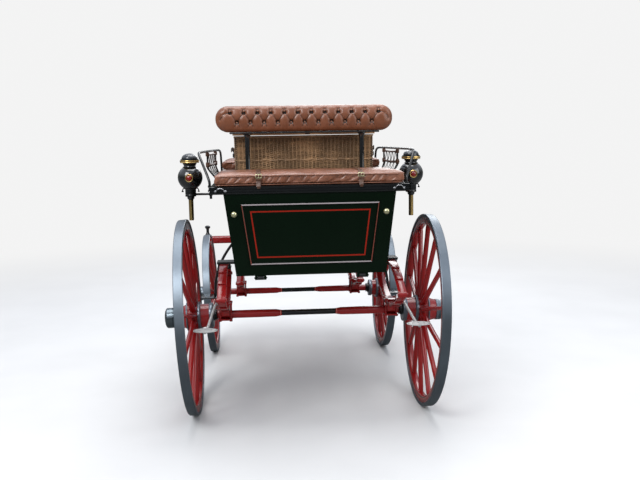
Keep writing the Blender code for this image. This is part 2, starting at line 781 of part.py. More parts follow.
def make_rear_gear():
    """Rear axle with its spring seats, the rear springs and the brackets that carry the body."""
    axle_z = axle_height(REAR_WHEEL_Z, REAR_HALF_TRACK, REAR_NAVE_SCALE)
    bottom = spring_bottom(REAR_WHEEL_Z, REAR_HALF_TRACK, REAR_NAVE_SCALE)
    axle = make_axle(REAR_AXLE_Y, REAR_WHEEL_Z, REAR_HALF_TRACK, REAR_NAVE_SCALE, REAR_SLIM_HALF)
    for side, hand in ((-1, "left"), (1, "right")):
        x = side * REAR_SPRING_X
        axle = union(axle, *seat_shapes(x, REAR_AXLE_Y, axle_z, bottom))
        bracket = union(body_bracket(side), *reversed(top_clip_shapes(x, REAR_AXLE_Y, REAR_SPRING_TOP)))
        node("rear_body_bracket_" + hand, "black_iron", bracket)
        make_spring("rear_spring_" + hand, x, REAR_AXLE_Y, REAR_SPRING_HALF_LENGTH, bottom, REAR_SPRING_TOP)
    axle = node("rear_axle", "red_paint", axle)
    place = Matrix.Translation((0, REAR_AXLE_Y, axle_z))
    hang_on([axle, *make_rear_steps(bottom)], "rear_axle_travel", place)


def body_bracket(side):
    """Iron bracket from the body's side out over one rear spring."""
    foot = REAR_SPRING_TOP + GAP
    thick = BRACKET_THICKNESS
    height = BRACKET_HEIGHT
    outer = REAR_SPRING_X + LEAF_WIDTH / 2 + CLIP_OVERHANG
    outline = [(body_half(foot) + GAP, foot), (outer, foot), (outer, foot + thick),
               (body_half(foot + thick) + thick, foot + thick),
               (body_half(foot + height) + thick, foot + height),
               (body_half(foot + height) + GAP, foot + height)]
    outline = [(side * x, z) for x, z in outline]
    return plate(outline, 2 * SEAT_HALF_LENGTH, "XZ", (0, REAR_AXLE_Y, 0))


def make_front_gear():
    """Front axle with its spring seats, and the front springs."""
    axle_z = axle_height(FRONT_WHEEL_Z, FRONT_HALF_TRACK, FRONT_NAVE_SCALE)
    bottom = spring_bottom(FRONT_WHEEL_Z, FRONT_HALF_TRACK, FRONT_NAVE_SCALE)
    axle = make_axle(FRONT_AXLE_Y, FRONT_WHEEL_Z, FRONT_HALF_TRACK, FRONT_NAVE_SCALE, FRONT_SLIM_HALF)
    springs = []
    for side, hand in ((-1, "left"), (1, "right")):
        x = side * FRONT_SPRING_X
        axle = union(axle, *seat_shapes(x, FRONT_AXLE_Y, axle_z, bottom))
        springs.append(make_spring("front_spring_" + hand, x, FRONT_AXLE_Y, FRONT_SPRING_HALF_LENGTH, bottom,
                                   FRONT_SPRING_TOP))
    axle = node("front_axle", "red_paint", axle)
    hang_on([axle], "front_axle_travel", Matrix.Translation((0, FRONT_AXLE_Y, axle_z)))
    return springs


# Fore carriage


def make_fore_carriage(springs):
    """Everything that steers with the front wheels, and what it turns against."""
    y = FRONT_AXLE_Y
    bar_bottom = SPLINTER_TOP - SPLINTER_THICKNESS
    frame = box((-BED_HALF_WIDTH, y - BED_HALF_DEPTH, BED_BOTTOM),
                (BED_HALF_WIDTH, y + BED_HALF_DEPTH, BED_BOTTOM + BED_HEIGHT))
    for side in (-1, 1):
        clips = top_clip_shapes(side * FRONT_SPRING_X, y, FRONT_SPRING_TOP)
        frame = union(frame, *reversed(clips))
        frame = union(frame, futchell_shape(side, bar_bottom - GAP))
    hole = KINGPIN_RADIUS + KINGPIN_CLEARANCE
    frame = cut(frame, rod((0, y, BED_BOTTOM - 0.01), (0, y, BED_BOTTOM + BED_HEIGHT + 0.01), hole, 16))
    frame = node("fore_frame", "red_paint", frame)
    ring_in = FIFTH_WHEEL_RADIUS - FIFTH_WHEEL_WIDTH
    ring = [(FIFTH_WHEEL_RADIUS, FIFTH_WHEEL_THICKNESS), (FIFTH_WHEEL_RADIUS, 0), (ring_in, 0),
            (ring_in, FIFTH_WHEEL_THICKNESS)]
    lower = node("fifth_wheel_lower", "black_iron",
                 turned(ring, 32, Matrix.Translation((0, y, LOWER_RING_BOTTOM)), ring=True))
    node("fifth_wheel_upper", "black_iron",
         turned(ring, 32, Matrix.Translation((0, y, UPPER_RING_BOTTOM)), ring=True))
    transom = box((-TRANSOM_HALF_WIDTH, y - TRANSOM_HALF_DEPTH, TRANSOM_BOTTOM),
                  (TRANSOM_HALF_WIDTH, y + TRANSOM_HALF_DEPTH, BODY_BOTTOM - GAP))
    pin_top = TRANSOM_BOTTOM + KINGPIN_DEPTH
    socket = rod((0, y, TRANSOM_BOTTOM - 0.01), (0, y, pin_top + GAP), KINGPIN_RADIUS + GAP, 16)
    node("front_transom", "green_paint", cut(transom, socket))
    head = BED_BOTTOM - GAP
    pin = [(0, pin_top), (KINGPIN_RADIUS, pin_top), (KINGPIN_RADIUS, head), (KINGPIN_HEAD, head),
           (KINGPIN_HEAD, head - 0.014), (0, head - 0.014)]
    node("kingpin", "steel", turned(pin, 16, Matrix.Translation((0, y, 0))))
    bar_y = ahead(SPLINTER_STATION)
    bar = box((-SPLINTER_HALF_WIDTH, bar_y - SPLINTER_DEPTH / 2, bar_bottom),
              (SPLINTER_HALF_WIDTH, bar_y + SPLINTER_DEPTH / 2, SPLINTER_TOP), bevel=0.006)
    moving = [frame, lower, node("splinter_bar", "red_paint", bar)]
    for side, hand in ((-1, "left"), (1, "right")):
        place = Matrix.Translation((side * ROLLER_X, bar_y, SPLINTER_TOP + GAP))
        moving.append(node("roller_bolt_" + hand, "black_iron", turned(roller_profile(), 12, place)))
    hang_on([*moving, *springs], "kingpin_axis", Matrix.Translation((0, y, LOWER_RING_BOTTOM)))


def futchell_shape(side, rise_top):
    """One fore-and-aft timber: level under the turning plates, rising to the splinter bar."""
    y = FRONT_AXLE_Y
    low = BED_BOTTOM + BED_HEIGHT - 0.004
    high = LOWER_RING_BOTTOM - GAP
    tail = y - FUTCHELL_TAIL
    front = ahead(FRONT_REACH)
    bend = y + FIFTH_WHEEL_RADIUS + 0.02
    rest = ahead(SPLINTER_STATION) - SPLINTER_DEPTH
    outline = [(tail, low + 0.008), (tail + 0.05, low), (bend, low), (front, rise_top - FUTCHELL_HEIGHT),
               (front, rise_top), (rest, rise_top), (bend, high), (tail, high)]
    timber = as_mesh(plate(outline, FUTCHELL_WIDTH, "YZ", (0, 0, 0)))
    for vert in timber.data.vertices:
        share = (vert.co.y - tail) / (front - tail)
        vert.co.x += side * (FUTCHELL_REAR_X + (FUTCHELL_FRONT_X - FUTCHELL_REAR_X) * share)
    return timber


def roller_profile():
    """Outline of a spool-shaped roller bolt, from its top down."""
    top = ROLLER_HEIGHT
    waist = ROLLER_RADIUS * 0.55
    return [(0, top), (ROLLER_RADIUS * 0.6, top), (ROLLER_RADIUS, top - 0.008), (ROLLER_RADIUS, top - 0.018),
            (waist, top - 0.028), (waist, 0.022), (ROLLER_RADIUS, 0.012), (ROLLER_RADIUS, 0), (0, 0)]


# Body


def make_side(side, hand):
    """Sloping side board with a louvred window and a low footwell side ahead of the boot."""
    low = (body_half(BODY_BOTTOM), BODY_BOTTOM)
    high = (body_half(BODY_TOP), BODY_TOP)
    outline = [low, high, (high[0] - BOARD, high[1]), (low[0] - BOARD, low[1])]
    outline = [(side * x, z) for x, z in outline]
    start = ahead(TAIL_INNER)
    end = ahead(FLOOR_FRONT_STATION)
    board = plate(outline, end - start, "XZ", (0, (start + end) / 2, 0))
    corner = ahead(BOOT_FRONT_STATION) + 0.03
    step = BODY_BOTTOM + FOOTWELL_SIDE_HEIGHT
    sweep = circle((corner + 0.15, step + 0.15), 0.15, 7, -math.pi / 2, -math.pi)
    above = [(end + 0.05, step), *sweep, (corner, BODY_TOP + 0.05), (end + 0.05, BODY_TOP + 0.05)]
    board = cut(board, plate(above, 0.4, "YZ", (side * BODY_HALF_TOP, 0, 0)))
    window = box((side * BODY_HALF_TOP - 0.2, ahead(LOUVRE_REAR_STATION), LOUVRE_BOTTOM),
                 (side * BODY_HALF_TOP + 0.2, ahead(LOUVRE_FRONT_STATION), LOUVRE_TOP))
    board = cut(board, window)
    return node("body_side_" + hand, "green_paint", union(board, together(louvre_shapes(side))))


def louvre_shapes(side):
    """Tilted slats let into the board at both ends of the window."""
    shapes = []
    pitch = (LOUVRE_TOP - LOUVRE_BOTTOM) / LOUVRE_COUNT
    long_half = (LOUVRE_FRONT_STATION - LOUVRE_REAR_STATION) / 2 + LOUVRE_TENON
    middle = ahead((LOUVRE_FRONT_STATION + LOUVRE_REAR_STATION) / 2)
    for i in range(LOUVRE_COUNT):
        height = LOUVRE_BOTTOM + pitch * (i + 0.5)
        centre = (side * (body_half(height) - BOARD / 2), middle, height)
        place = Matrix.Translation(centre) @ Matrix.Rotation(side * LOUVRE_TILT, 4, "Y")
        shapes.append(box((-LOUVRE_HALF_WIDTH, -long_half, -LOUVRE_THICKNESS / 2),
                          (LOUVRE_HALF_WIDTH, long_half, LOUVRE_THICKNESS / 2), place=place))
    return shapes


def make_body():
    """Floor, sides, boot front, toe board, dash, seat deck and its edge rail."""
    inner = body_half(BODY_BOTTOM) - BOARD - GAP
    rear = ahead(TAIL_INNER)
    front = ahead(FLOOR_FRONT_STATION)
    node("body_floor", "wood", box((-inner, rear, BODY_BOTTOM), (inner, front, BODY_BOTTOM + BOARD)))
    make_side(-1, "left")
    make_side(1, "right")
    low = BODY_BOTTOM + BOARD + GAP
    low_half = body_half(low) - BOARD - 2 * GAP
    high_half = body_half(BODY_TOP) - BOARD - 2 * GAP
    outline = [(-low_half, low), (low_half, low), (high_half, BODY_TOP), (-high_half, BODY_TOP)]
    node("boot_front_board", "green_paint",
         plate(outline, BOARD, "XZ", (0, ahead(BOOT_FRONT_STATION) - BOARD / 2, 0)))
    deck_rear = DECK_REAR
    node("seat_deck", "green_paint",
         box((-DECK_HALF_WIDTH, deck_rear, DECK_BOTTOM),
             (DECK_HALF_WIDTH, ahead(BOOT_FRONT_STATION), DECK_TOP), bevel=0.003))
    inner_x = DECK_HALF_WIDTH + GAP
    outer_x = inner_x + RAIL_THICKNESS
    rail_front = ahead(RAIL_FRONT_STATION)
    outline = [(-outer_x, rail_front), (-outer_x, RAIL_FACE), (outer_x, RAIL_FACE), (outer_x, rail_front),
               (inner_x, rail_front), (inner_x, deck_rear - GAP), (-inner_x, deck_rear - GAP),
               (-inner_x, rail_front)]
    rail = plate(outline, RAIL_HEIGHT, "XY", (0, 0, RAIL_TOP - RAIL_HEIGHT / 2))
    loops = []
    for side in (-1, 1):
        x = side * LOOP_X
        low = RAIL_TOP - LOOP_DROP
        high = RAIL_TOP - LOOP_WIRE
        out = RAIL_FACE - 2.4 * LOOP_WIRE
        path = [(x - LOOP_HALF, RAIL_FACE + LOOP_WIRE, low), (x - LOOP_HALF, out, low + 0.002),
                (x - LOOP_HALF + 0.003, out, high), (x + LOOP_HALF - 0.003, out, high),
                (x + LOOP_HALF, out, low + 0.002), (x + LOOP_HALF, RAIL_FACE + LOOP_WIRE, low)]
        loops.append(tube(path, LOOP_WIRE))
    node("seat_rail", "black_iron", union(rail, together(loops)))
    make_toe_board(front)


def make_toe_board(front):
    """Sloping toe board, and the dash that stands on its upper edge."""
    run = Vector((math.cos(TOE_ANGLE), math.sin(TOE_ANGLE)))
    heel = Vector((front + GAP, BODY_BOTTOM))
    heel_top = Vector((front + GAP, BODY_BOTTOM + BOARD))
    tip = heel_top + run * TOE_LENGTH
    tip_low = Vector((tip.x, tip.y - BOARD))
    outline = [heel, tip_low, tip, heel_top]
    node("toe_board", "green_paint", plate(outline, 2 * TOE_HALF_WIDTH, "YZ", (0, 0, 0)))
    rise = Vector((math.cos(DASH_ANGLE), math.sin(DASH_ANGLE))) * DASH_HEIGHT
    base = tip_low + Vector((GAP, 0))
    top = base + Vector((0, BOARD)) + rise
    thick = Vector((DASH_THICKNESS, 0))
    dash = plate([base, base + thick, top + thick, top, base + Vector((0, BOARD))], 2 * TOE_HALF_WIDTH, "YZ",
                 (0, 0, 0))
    node("dash", "green_paint", dash)


# Tailboard


def make_tailboard():
    """Drop tailboard with its moulding, knobs and hinges."""
    face = ahead(TAIL_STATION)
    low = body_half(BODY_BOTTOM)
    high = body_half(TAILBOARD_TOP)
    outline = [(-low, BODY_BOTTOM), (low, BODY_BOTTOM), (high, TAILBOARD_TOP), (-high, TAILBOARD_TOP)]
    board = plate(outline, TAILBOARD_THICKNESS, "XZ", (0, face + TAILBOARD_THICKNESS / 2, 0))
    pin = (ahead(HINGE_PIN_STATION), HINGE_PIN_Z)
    leaves = []
    for side, hand in ((-1, "left"), (1, "right")):
        x = side * HINGE_X
        node("tailboard_hinge_" + hand, "black_iron", fixed_hinge(x, pin))
        for end in (-1, 1):
            centre = x + end * (HINGE_FIXED_WIDTH / 2 + GAP + HINGE_LEAF_WIDTH / 2)
            arc = circle(pin, HINGE_RADIUS, 9, math.pi, math.tau)
            neck = HINGE_RADIUS * 0.85
            outline = [*arc, (pin[0] + neck, BODY_BOTTOM + 0.004), (pin[0] - neck, BODY_BOTTOM + 0.004)]
            hole = circle(pin, HINGE_PIN_RADIUS + HINGE_PLAY, 8)
            leaves.append(plate(outline, HINGE_LEAF_WIDTH, "YZ", (centre, 0, 0), [hole]))
    board = node("tailboard", "green_paint", union(board, together(leaves)))
    half_low = body_half(MOULDING_BOTTOM) - MOULDING_MARGIN_BOTTOM
    half_high = body_half(MOULDING_TOP) - MOULDING_MARGIN_TOP
    outer = [(-half_low, MOULDING_BOTTOM), (half_low, MOULDING_BOTTOM), (half_high, MOULDING_TOP),
             (-half_high, MOULDING_TOP)]
    width = MOULDING_WIDTH
    inner = [(width - half_low, MOULDING_BOTTOM + width), (half_low - width, MOULDING_BOTTOM + width),
             (half_high - width, MOULDING_TOP - width), (width - half_high, MOULDING_TOP - width)]
    moving = [board, node("tailboard_moulding", "green_paint",
                          plate(outer, MOULDING_PROUD, "XZ", (0, face - GAP - MOULDING_PROUD / 2, 0),
                                [inner]))]
    for side, hand in ((-1, "left"), (1, "right")):
        knob_x = side * (body_half(KNOB_Z) - KNOB_MARGIN)
        place = Matrix.Translation((knob_x, face - GAP, KNOB_Z)) @ Matrix.Rotation(math.radians(90), 4, "X")
        moving.append(node("tailboard_knob_" + hand, "brass", turned(knob_profile(), 12, place)))
    hang_on(moving, "tailboard_axis", Matrix.Translation((0, *pin)))


def knob_profile():
    """Outline of a round pull knob on its rose."""
    radius = KNOB_RADIUS
    return [(0, 0.030), (radius * 0.6, 0.028), (radius, 0.021), (radius, 0.016), (radius * 0.5, 0.009),
            (radius * 0.5, 0.004), (radius * 0.9, 0.003), (radius * 0.9, 0), (0, 0)]


def fixed_hinge(x, pin):
    """Knuckle on a tongue under the floor, with the pin that the tailboard's knuckles turn on."""
    tongue_end = ahead(TAIL_INNER) + HINGE_TONGUE
    arc = circle(pin, HINGE_RADIUS, 9, math.pi * 0.5, math.pi * 1.5)
    outline = [*arc, (tongue_end, pin[1] - HINGE_RADIUS), (tongue_end, BODY_BOTTOM - GAP),
               (ahead(TAIL_INNER), BODY_BOTTOM - GAP), (ahead(TAIL_INNER), pin[1] + HINGE_RADIUS)]
    knuckle = plate(outline, HINGE_FIXED_WIDTH, "YZ", (x, 0, 0))
    reach = HINGE_FIXED_WIDTH / 2 + GAP + HINGE_LEAF_WIDTH + 0.004
    return union(knuckle, rod((x - reach, *pin), (x + reach, *pin), HINGE_PIN_RADIUS, 8))


# Seats


def cushion(low, high, cells):
    """Closed cushion with a crown on top and sides drawn in between its corners."""
    cage = bmesh.new()
    bmesh.ops.create_grid(cage, x_segments=cells[0], y_segments=cells[1], size=0.5)
    for level in (0.5, 1.0):
        top = [face for face in cage.faces if abs(face.calc_center_median().z - (level - 0.5)) < 0.01]
        risen = bmesh.ops.extrude_face_region(cage, geom=top)
        for vert in (item for item in risen["geom"] if isinstance(item, bmesh.types.BMVert)):
            vert.co.z = level
        if level > 0.5:
            bmesh.ops.delete(cage, geom=top, context="FACES")
    size = Vector(high) - Vector(low)
    centre = (Vector(high) + Vector(low)) / 2
    for vert in cage.verts:
        u, v, w = 2 * vert.co.x, 2 * vert.co.y, vert.co.z
        bulge = 0.5 if abs(w - 0.5) < 0.01 else 1.0
        half_x = size.x / 2 - CUSHION_DRAW_IN * bulge * (1 - v * v)
        half_y = size.y / 2 - CUSHION_DRAW_IN * bulge * (1 - u ** 4) * 0.5
        crown = CUSHION_CROWN * ((1 - u ** 6) * (1 - v ** 4)) if w > 0.9 else 0
        height = size.z - CUSHION_CROWN
        vert.co = (centre.x + u * half_x, centre.y + v * half_y, low[2] + w * height + crown)
    return mesh_object(cage)


def bolster_shape():
    """Buttoned bolster: an oval roll along X with rounded ends and a diamond pattern of tufts."""
    rings = 40
    sides = 16
    half_height = (BOLSTER_TOP - BOLSTER_BOTTOM) / 2
    half_depth = BOLSTER_DEPTH / 2
    middle = (BOLSTER_TOP + BOLSTER_BOTTOM) / 2
    cage = bmesh.new()
    lie = Matrix.Rotation(math.radians(90), 4, "Y")
    bmesh.ops.create_cone(cage, cap_ends=True, segments=sides, radius1=1, radius2=1, depth=2, matrix=lie)
    along = [edge for edge in cage.edges if abs(edge.verts[0].co.x - edge.verts[1].co.x) > 1]
    bmesh.ops.subdivide_edges(cage, edges=along, cuts=rings - 1, use_grid_fill=True)
    for vert in cage.verts:
        share = vert.co.x
        around = math.atan2(vert.co.z, vert.co.y)
        x = share * BOLSTER_HALF_WIDTH
        edge = max(0.0, (abs(share) - 0.93) / 0.07)
        swell = math.sqrt(max(0.0, 1 - (edge * 0.86) ** 2))
        y = half_depth * math.copysign(abs(math.cos(around)) ** 0.75, math.cos(around)) * swell
        z = half_height * math.copysign(abs(math.sin(around)) ** 0.8, math.sin(around)) * swell
        if y < 0:
            y += tuft_depth(x, z) * swell
        z = max(z, -half_height)
        vert.co = (x, ahead(BOLSTER_STATION) + y, middle + z)
    return mesh_object(cage)


def tuft_depth(x, height):
    """Depth of the buttons and the creases between them, on the bolster's face."""
    depth = 0.0
    z = height - BOLSTER_ROWS_LIFT
    for row, count in ((0.5, 12), (-0.5, 11)):
        for i in range(count):
            button_x = BOLSTER_PITCH * (i - (count - 1) / 2)
            distance = math.hypot(x - button_x, z - row * BOLSTER_BUTTON_ROWS)
            depth = max(depth, BOLSTER_TUFT * math.exp(-(distance / 0.016) ** 2))
    zig = abs(((x / BOLSTER_PITCH) % 1.0) - 0.5) * 2
    crease = abs(z / BOLSTER_BUTTON_ROWS - (zig - 0.5))
    return max(depth, BOLSTER_TUFT * 0.5 * math.exp(-(crease / 0.35) ** 2))


def make_seats():
    """Rear cushion and backrest, and the front seat with its cushion."""
    half = REAR_CUSHION_HALF_WIDTH
    node("rear_cushion", "brown_leather",
         cushion((-half, ahead(REAR_CUSHION_REAR), CUSHION_BOTTOM),
                 (half, ahead(REAR_CUSHION_FRONT), CUSHION_BOTTOM + REAR_CUSHION_THICKNESS), (18, 8)))
    node("bolster", "brown_leather", bolster_shape())
    y = ahead(POST_STATION)
    board_top = BOLSTER_BOTTOM - GAP
    board = box((-BOLSTER_HALF_WIDTH * 0.84, y - BOLSTER_BOARD_REAR, board_top - BOLSTER_BOARD),
                (BOLSTER_HALF_WIDTH * 0.84, y + BOLSTER_BOARD_FRONT, board_top), bevel=0.003)
    posts = []
    for side in (-1, 1):
        top = board_top - BOLSTER_BOARD + 0.004
        base = DECK_TOP + GAP
        profile = [(0, top), (POST_FLANGE, top), (POST_FLANGE, top - 0.010), (POST_RADIUS, top - 0.018),
                   (POST_RADIUS, base + 0.014), (POST_FLANGE, base + 0.006), (POST_FLANGE, base), (0, base)]
        posts.append(turned(profile, 12, Matrix.Translation((side * POST_X, y, 0))))
    node("bolster_frame", "black_iron", union(board, together(posts)))
    make_front_seat()


def make_front_seat():
    """Low box and cushion of the front seat."""
    rear = ahead(FRONT_BOX_REAR)
    front = ahead(FRONT_BOX_FRONT)
    half = FRONT_BOX_HALF_WIDTH
    base = DECK_TOP + GAP
    top = base + FRONT_BOX_HEIGHT - BOARD
    hole = [(-half + BOARD, rear + BOARD), (half - BOARD, rear + BOARD), (half - BOARD, front - BOARD),
            (-half + BOARD, front - BOARD)]
    frame = plate([(-half, rear), (half, rear), (half, front), (-half, front)], top + 0.002 - base, "XY",
                  (0, 0, (top + 0.002 + base) / 2), [hole])
    board = box((-half - 0.01, rear - 0.005, top), (half + 0.01, front + 0.005, FRONT_SEAT_TOP))
    node("front_seat_box", "green_paint", union(frame, board))
    low = (-FRONT_CUSHION_HALF_WIDTH, rear + 0.005, FRONT_SEAT_TOP + GAP)
    high = (FRONT_CUSHION_HALF_WIDTH, front, FRONT_SEAT_TOP + GAP + FRONT_CUSHION_THICKNESS)
    node("front_cushion", "brown_leather", cushion(low, high, (16, 7)))


# Hamper


def make_hamper():
    """Wicker hamper: an open body with thin walls, and a lid hinged along its front edge."""
    rear = ahead(HAMPER_REAR)
    front = ahead(HAMPER_FRONT)
    bottom = DECK_TOP + GAP
    shell = tapered_block(rear, front, bottom, HAMPER_TOP, HAMPER_HALF_WIDTH, 0.0)
    hollow = tapered_block(rear, front, bottom, HAMPER_TOP, HAMPER_HALF_WIDTH, HAMPER_WALL)
    node("hamper_body", "wicker", cut(shell, hollow))
    low = (-HAMPER_HALF_WIDTH - LID_OVERHANG, rear - LID_OVERHANG, HAMPER_TOP + GAP)
    high = (HAMPER_HALF_WIDTH + LID_OVERHANG, front + LID_OVERHANG, HAMPER_TOP + GAP + HAMPER_LID)
    lid = node("hamper_lid", "wicker", box(low, high, bevel=0.006))
    hang_on([lid], "hamper_lid_axis", Matrix.Translation((0, high[1], low[2])))


def tapered_block(rear, front, bottom, top, half_width, inset):
    """Block that narrows toward its bottom, or the hollow inside it when there is an inset."""
    cage = bmesh.new()
    size = Vector((2 * (half_width - inset), front - rear - 2 * inset, top - bottom))
    centre = Vector((0, (rear + front) / 2, (top + bottom) / 2 + inset))
    bmesh.ops.create_cube(cage, size=1.0, matrix=Matrix.Translation(centre) @ Matrix.Diagonal((*size, 1.0)))
    for vert in cage.verts:
        if vert.co.z < centre.z:
            vert.co.x -= math.copysign(HAMPER_TAPER, vert.co.x)
            vert.co.y -= math.copysign(HAMPER_TAPER, vert.co.y - centre.y) * 0.5
    return mesh_object(cage)


# Irons, lamps and steps


def make_side_rail(side, hand):
    """Hand iron of the rear seat that runs on as the side rail of the front seat, with its posts."""
    foot_x = DECK_HALF_WIDTH + GAP + IRON_RADIUS
    rail_x = foot_x + RAIL_THICKNESS + GAP
    low = DECK_BOTTOM + 0.006
    rear = REAR_IRON_STATION
    front = FRONT_IRON_STATION
    top = IRON_TOP
    middle_x = IRON_SPREAD - MIDDLE_POST_INSET
    front_x = IRON_SPREAD - FRONT_POST_INSET
    end_x = IRON_SPREAD - FRONT_IRON_INSET
    line = [(rail_x, rear, low), (rail_x, rear, low + 0.050),
            (IRON_SPREAD - 0.020, rear + 0.050, top - 0.070),
            (IRON_SPREAD + 0.006, rear + 0.110, top - 0.010), (IRON_SPREAD + 0.004, rear + 0.190, top),
            (middle_x, MIDDLE_POST_STATION, top), (front_x, FRONT_POST_STATION, top),
            (end_x + 0.008, front - 0.080, top - 0.003), (end_x + 0.002, front - 0.020, top - 0.024),
            (end_x, front, top - 0.080), (foot_x + 0.001, front, low + 0.060), (foot_x, front, low)]
    rail = tube(smooth_path([(side * x, ahead(station), z) for x, station, z in line], 0.045), IRON_RADIUS)
    posts = []
    for spread, station in ((front_x, FRONT_POST_STATION), (middle_x, MIDDLE_POST_STATION)):
        line = [(foot_x, station, low), (foot_x, station, low + 0.030), (spread, station, top - 0.100),
                (spread, station, top - 0.060), (spread, station, top)]
        path = smooth_path([(side * x, ahead(y), z) for x, y, z in line], 0.05)
        posts.append(tube(path, POST_IRON_RADIUS))
    node("side_rail_" + hand, "black_iron", union(rail, together(posts)))


def lamp_profile():
    """Turned outline of a lamp, down its outside to the candle tube and up its hollow inside."""
    globe = []
    for degrees in (58, 30, 0, -30, -58):
        angle = math.radians(degrees)
        globe.append((GLOBE_RADIUS * math.cos(angle), GLOBE_RADIUS * math.sin(angle)))
    globe = [(radius, GLOBE_Z + height) for radius, height in globe]
    top = LAMP_TOP
    return [(0, top), (0.024, top - 0.003), (0.045, top - 0.015), (0.050, top - 0.034), (0.061, top - 0.036),
            (0.061, top - 0.060), (0.046, top - 0.064), *globe, (LAMP_COLLAR_RADIUS, LAMP_RING_TOP + 0.014),
            (LAMP_COLLAR_RADIUS, LAMP_RING_TOP + GAP), (LAMP_SOCKET_RADIUS, LAMP_RING_TOP + GAP),
            (LAMP_SOCKET_RADIUS, LAMP_RING_TOP - 0.040), (LAMP_TUBE_RADIUS, LAMP_RING_TOP - 0.044),
            (LAMP_TUBE_RADIUS, LAMP_TUBE_BOTTOM + 0.004), (LAMP_BORE + 0.001, LAMP_TUBE_BOTTOM),
            (LAMP_BORE, LAMP_TUBE_BOTTOM), (LAMP_BORE, GLOBE_Z - 0.070), (GLOBE_RADIUS - LAMP_WALL, GLOBE_Z),
            (0.034, GLOBE_Z + 0.064), (0.034, top - 0.020), (0, top - 0.008)]


def make_lamps():
    """Two carriage lamps that stand in bracket rings and lift out."""
    y = ahead(LAMP_STATION)
    for side, hand in ((-1, "left"), (1, "right")):
        x = side * LAMP_X
        body = turned(lamp_profile(), 12, Matrix.Translation((x, y, 0)))
        for way, radius in ((-1, REAR_LENS_RADIUS), (1, FRONT_LENS_RADIUS)):
            reach = GLOBE_RADIUS + LENS_PROUD
            base = math.sqrt(GLOBE_RADIUS ** 2 - radius ** 2) - LAMP_WALL
            lens = [(0, reach + 0.007), (radius * 0.55, reach + 0.0055), (radius * 0.86, reach),
                    (radius, reach), (radius, base), (0, base)]
            turn = Matrix.Rotation(math.radians(-90 * way), 4, "X")
            body = union(body, turned(lens, 16, Matrix.Translation((x, y, GLOBE_Z)) @ turn))
        lamp = node("lamp_" + hand, "black_iron", body)
        hang_on([lamp], "lamp_" + hand + "_lift", Matrix.Translation((x, y, LAMP_RING_TOP)))
        node("lamp_bracket_" + hand, "black_iron", lamp_bracket(side, y))


def lamp_bracket(side, y):
    """Bar from the body's side, with an upright stay and the ring that the lamp stands in."""
    bore = LAMP_SOCKET_RADIUS + LAMP_RING_CLEARANCE
    low = LAMP_RING_TOP - LAMP_RING_HEIGHT
    profile = [(LAMP_COLLAR_RADIUS, LAMP_RING_TOP), (LAMP_COLLAR_RADIUS, low), (bore, low),
               (bore, LAMP_RING_TOP)]
    ring = turned(profile, 16, Matrix.Translation((side * LAMP_X, y, 0)), ring=True)
    middle = LAMP_RING_TOP - LAMP_RING_HEIGHT / 2
    bar_low = middle - BRACKET_BAR / 2
    bar_high = middle + BRACKET_BAR / 2
    end = LAMP_X - LAMP_COLLAR_RADIUS + 0.005
    stay = IRON_SPREAD - STAY_SETBACK
    flange_low = middle - BRACKET_FLANGE
    flange_high = middle + BRACKET_FLANGE
    outline = [(body_half(flange_low) + GAP, flange_low),
               (body_half(flange_low) + BRACKET_FLANGE_DEPTH, flange_low),
               (body_half(bar_low) + BRACKET_DEPTH, bar_low), (end, bar_low), (end, bar_high),
               (body_half(bar_high) + BRACKET_DEPTH, bar_high),
               (body_half(flange_high) + BRACKET_FLANGE_DEPTH, flange_high),
               (body_half(flange_high) + GAP, flange_high)]
    bar = plate([(side * a, z) for a, z in outline], BRACKET_DEPTH, "XZ", (0, y, 0))
    stay = rod((side * stay, y, bar_low - STAY_DROP), (side * stay, y, bar_high + STAY_RISE), STAY_RADIUS, 8)
    return union(ring, bar, stay)


def make_rear_steps(bottom):
    """Oval step plates behind the rear axle, each on a rod from a spring seat."""
    steps = []
    for side, hand in ((-1, "left"), (1, "right")):
        centre = (side * REAR_STEP_X, ahead(REAR_STEP_STATION))
        tread = plate(oval(centre, REAR_STEP_SIZE, 16), STEP_THICKNESS, "XY", (0, 0, REAR_STEP_Z))
        holes = [plate(oval((centre[0] + shift, centre[1]), REAR_HOLE_SIZE, 8), 3 * STEP_THICKNESS, "XY",
                       (0, 0, REAR_STEP_Z)) for shift in REAR_HOLE_SHIFTS]
        tread = cut(tread, together(holes))
        under = REAR_STEP_Z - REAR_STEP_ROD_RADIUS
        clip_x = REAR_SPRING_X + LEAF_WIDTH / 2 + CLIP_OVERHANG - REAR_STEP_ROD_RADIUS
        clip_y = REAR_AXLE_Y - SEAT_HALF_LENGTH - GAP
        clip_z = bottom + pack_height() + GAP + CLIP_THICKNESS / 2
        line = [(side * clip_x, clip_y, clip_z),
                (side * clip_x, clip_y - 2 * REAR_STEP_ROD_RADIUS, clip_z),
                (side * (clip_x + REAR_STEP_CREST[0]), clip_y - REAR_STEP_CREST[1], clip_z + REAR_STEP_CREST[2]),
                (centre[0] - side * REAR_STEP_FALL[0], centre[1] + REAR_STEP_FALL[1],
                 REAR_STEP_Z + REAR_STEP_FALL[2]),
                (centre[0] - side * REAR_STEP_LEVEL[0], centre[1] + REAR_STEP_LEVEL[1], under),
                (centre[0], centre[1] - REAR_STEP_HOLD, under)]
        stem = tube(smooth_path(line, 0.04), REAR_STEP_ROD_RADIUS)
        steps.append(node("rear_step_" + hand, "steel", union(tread, stem)))
    return steps


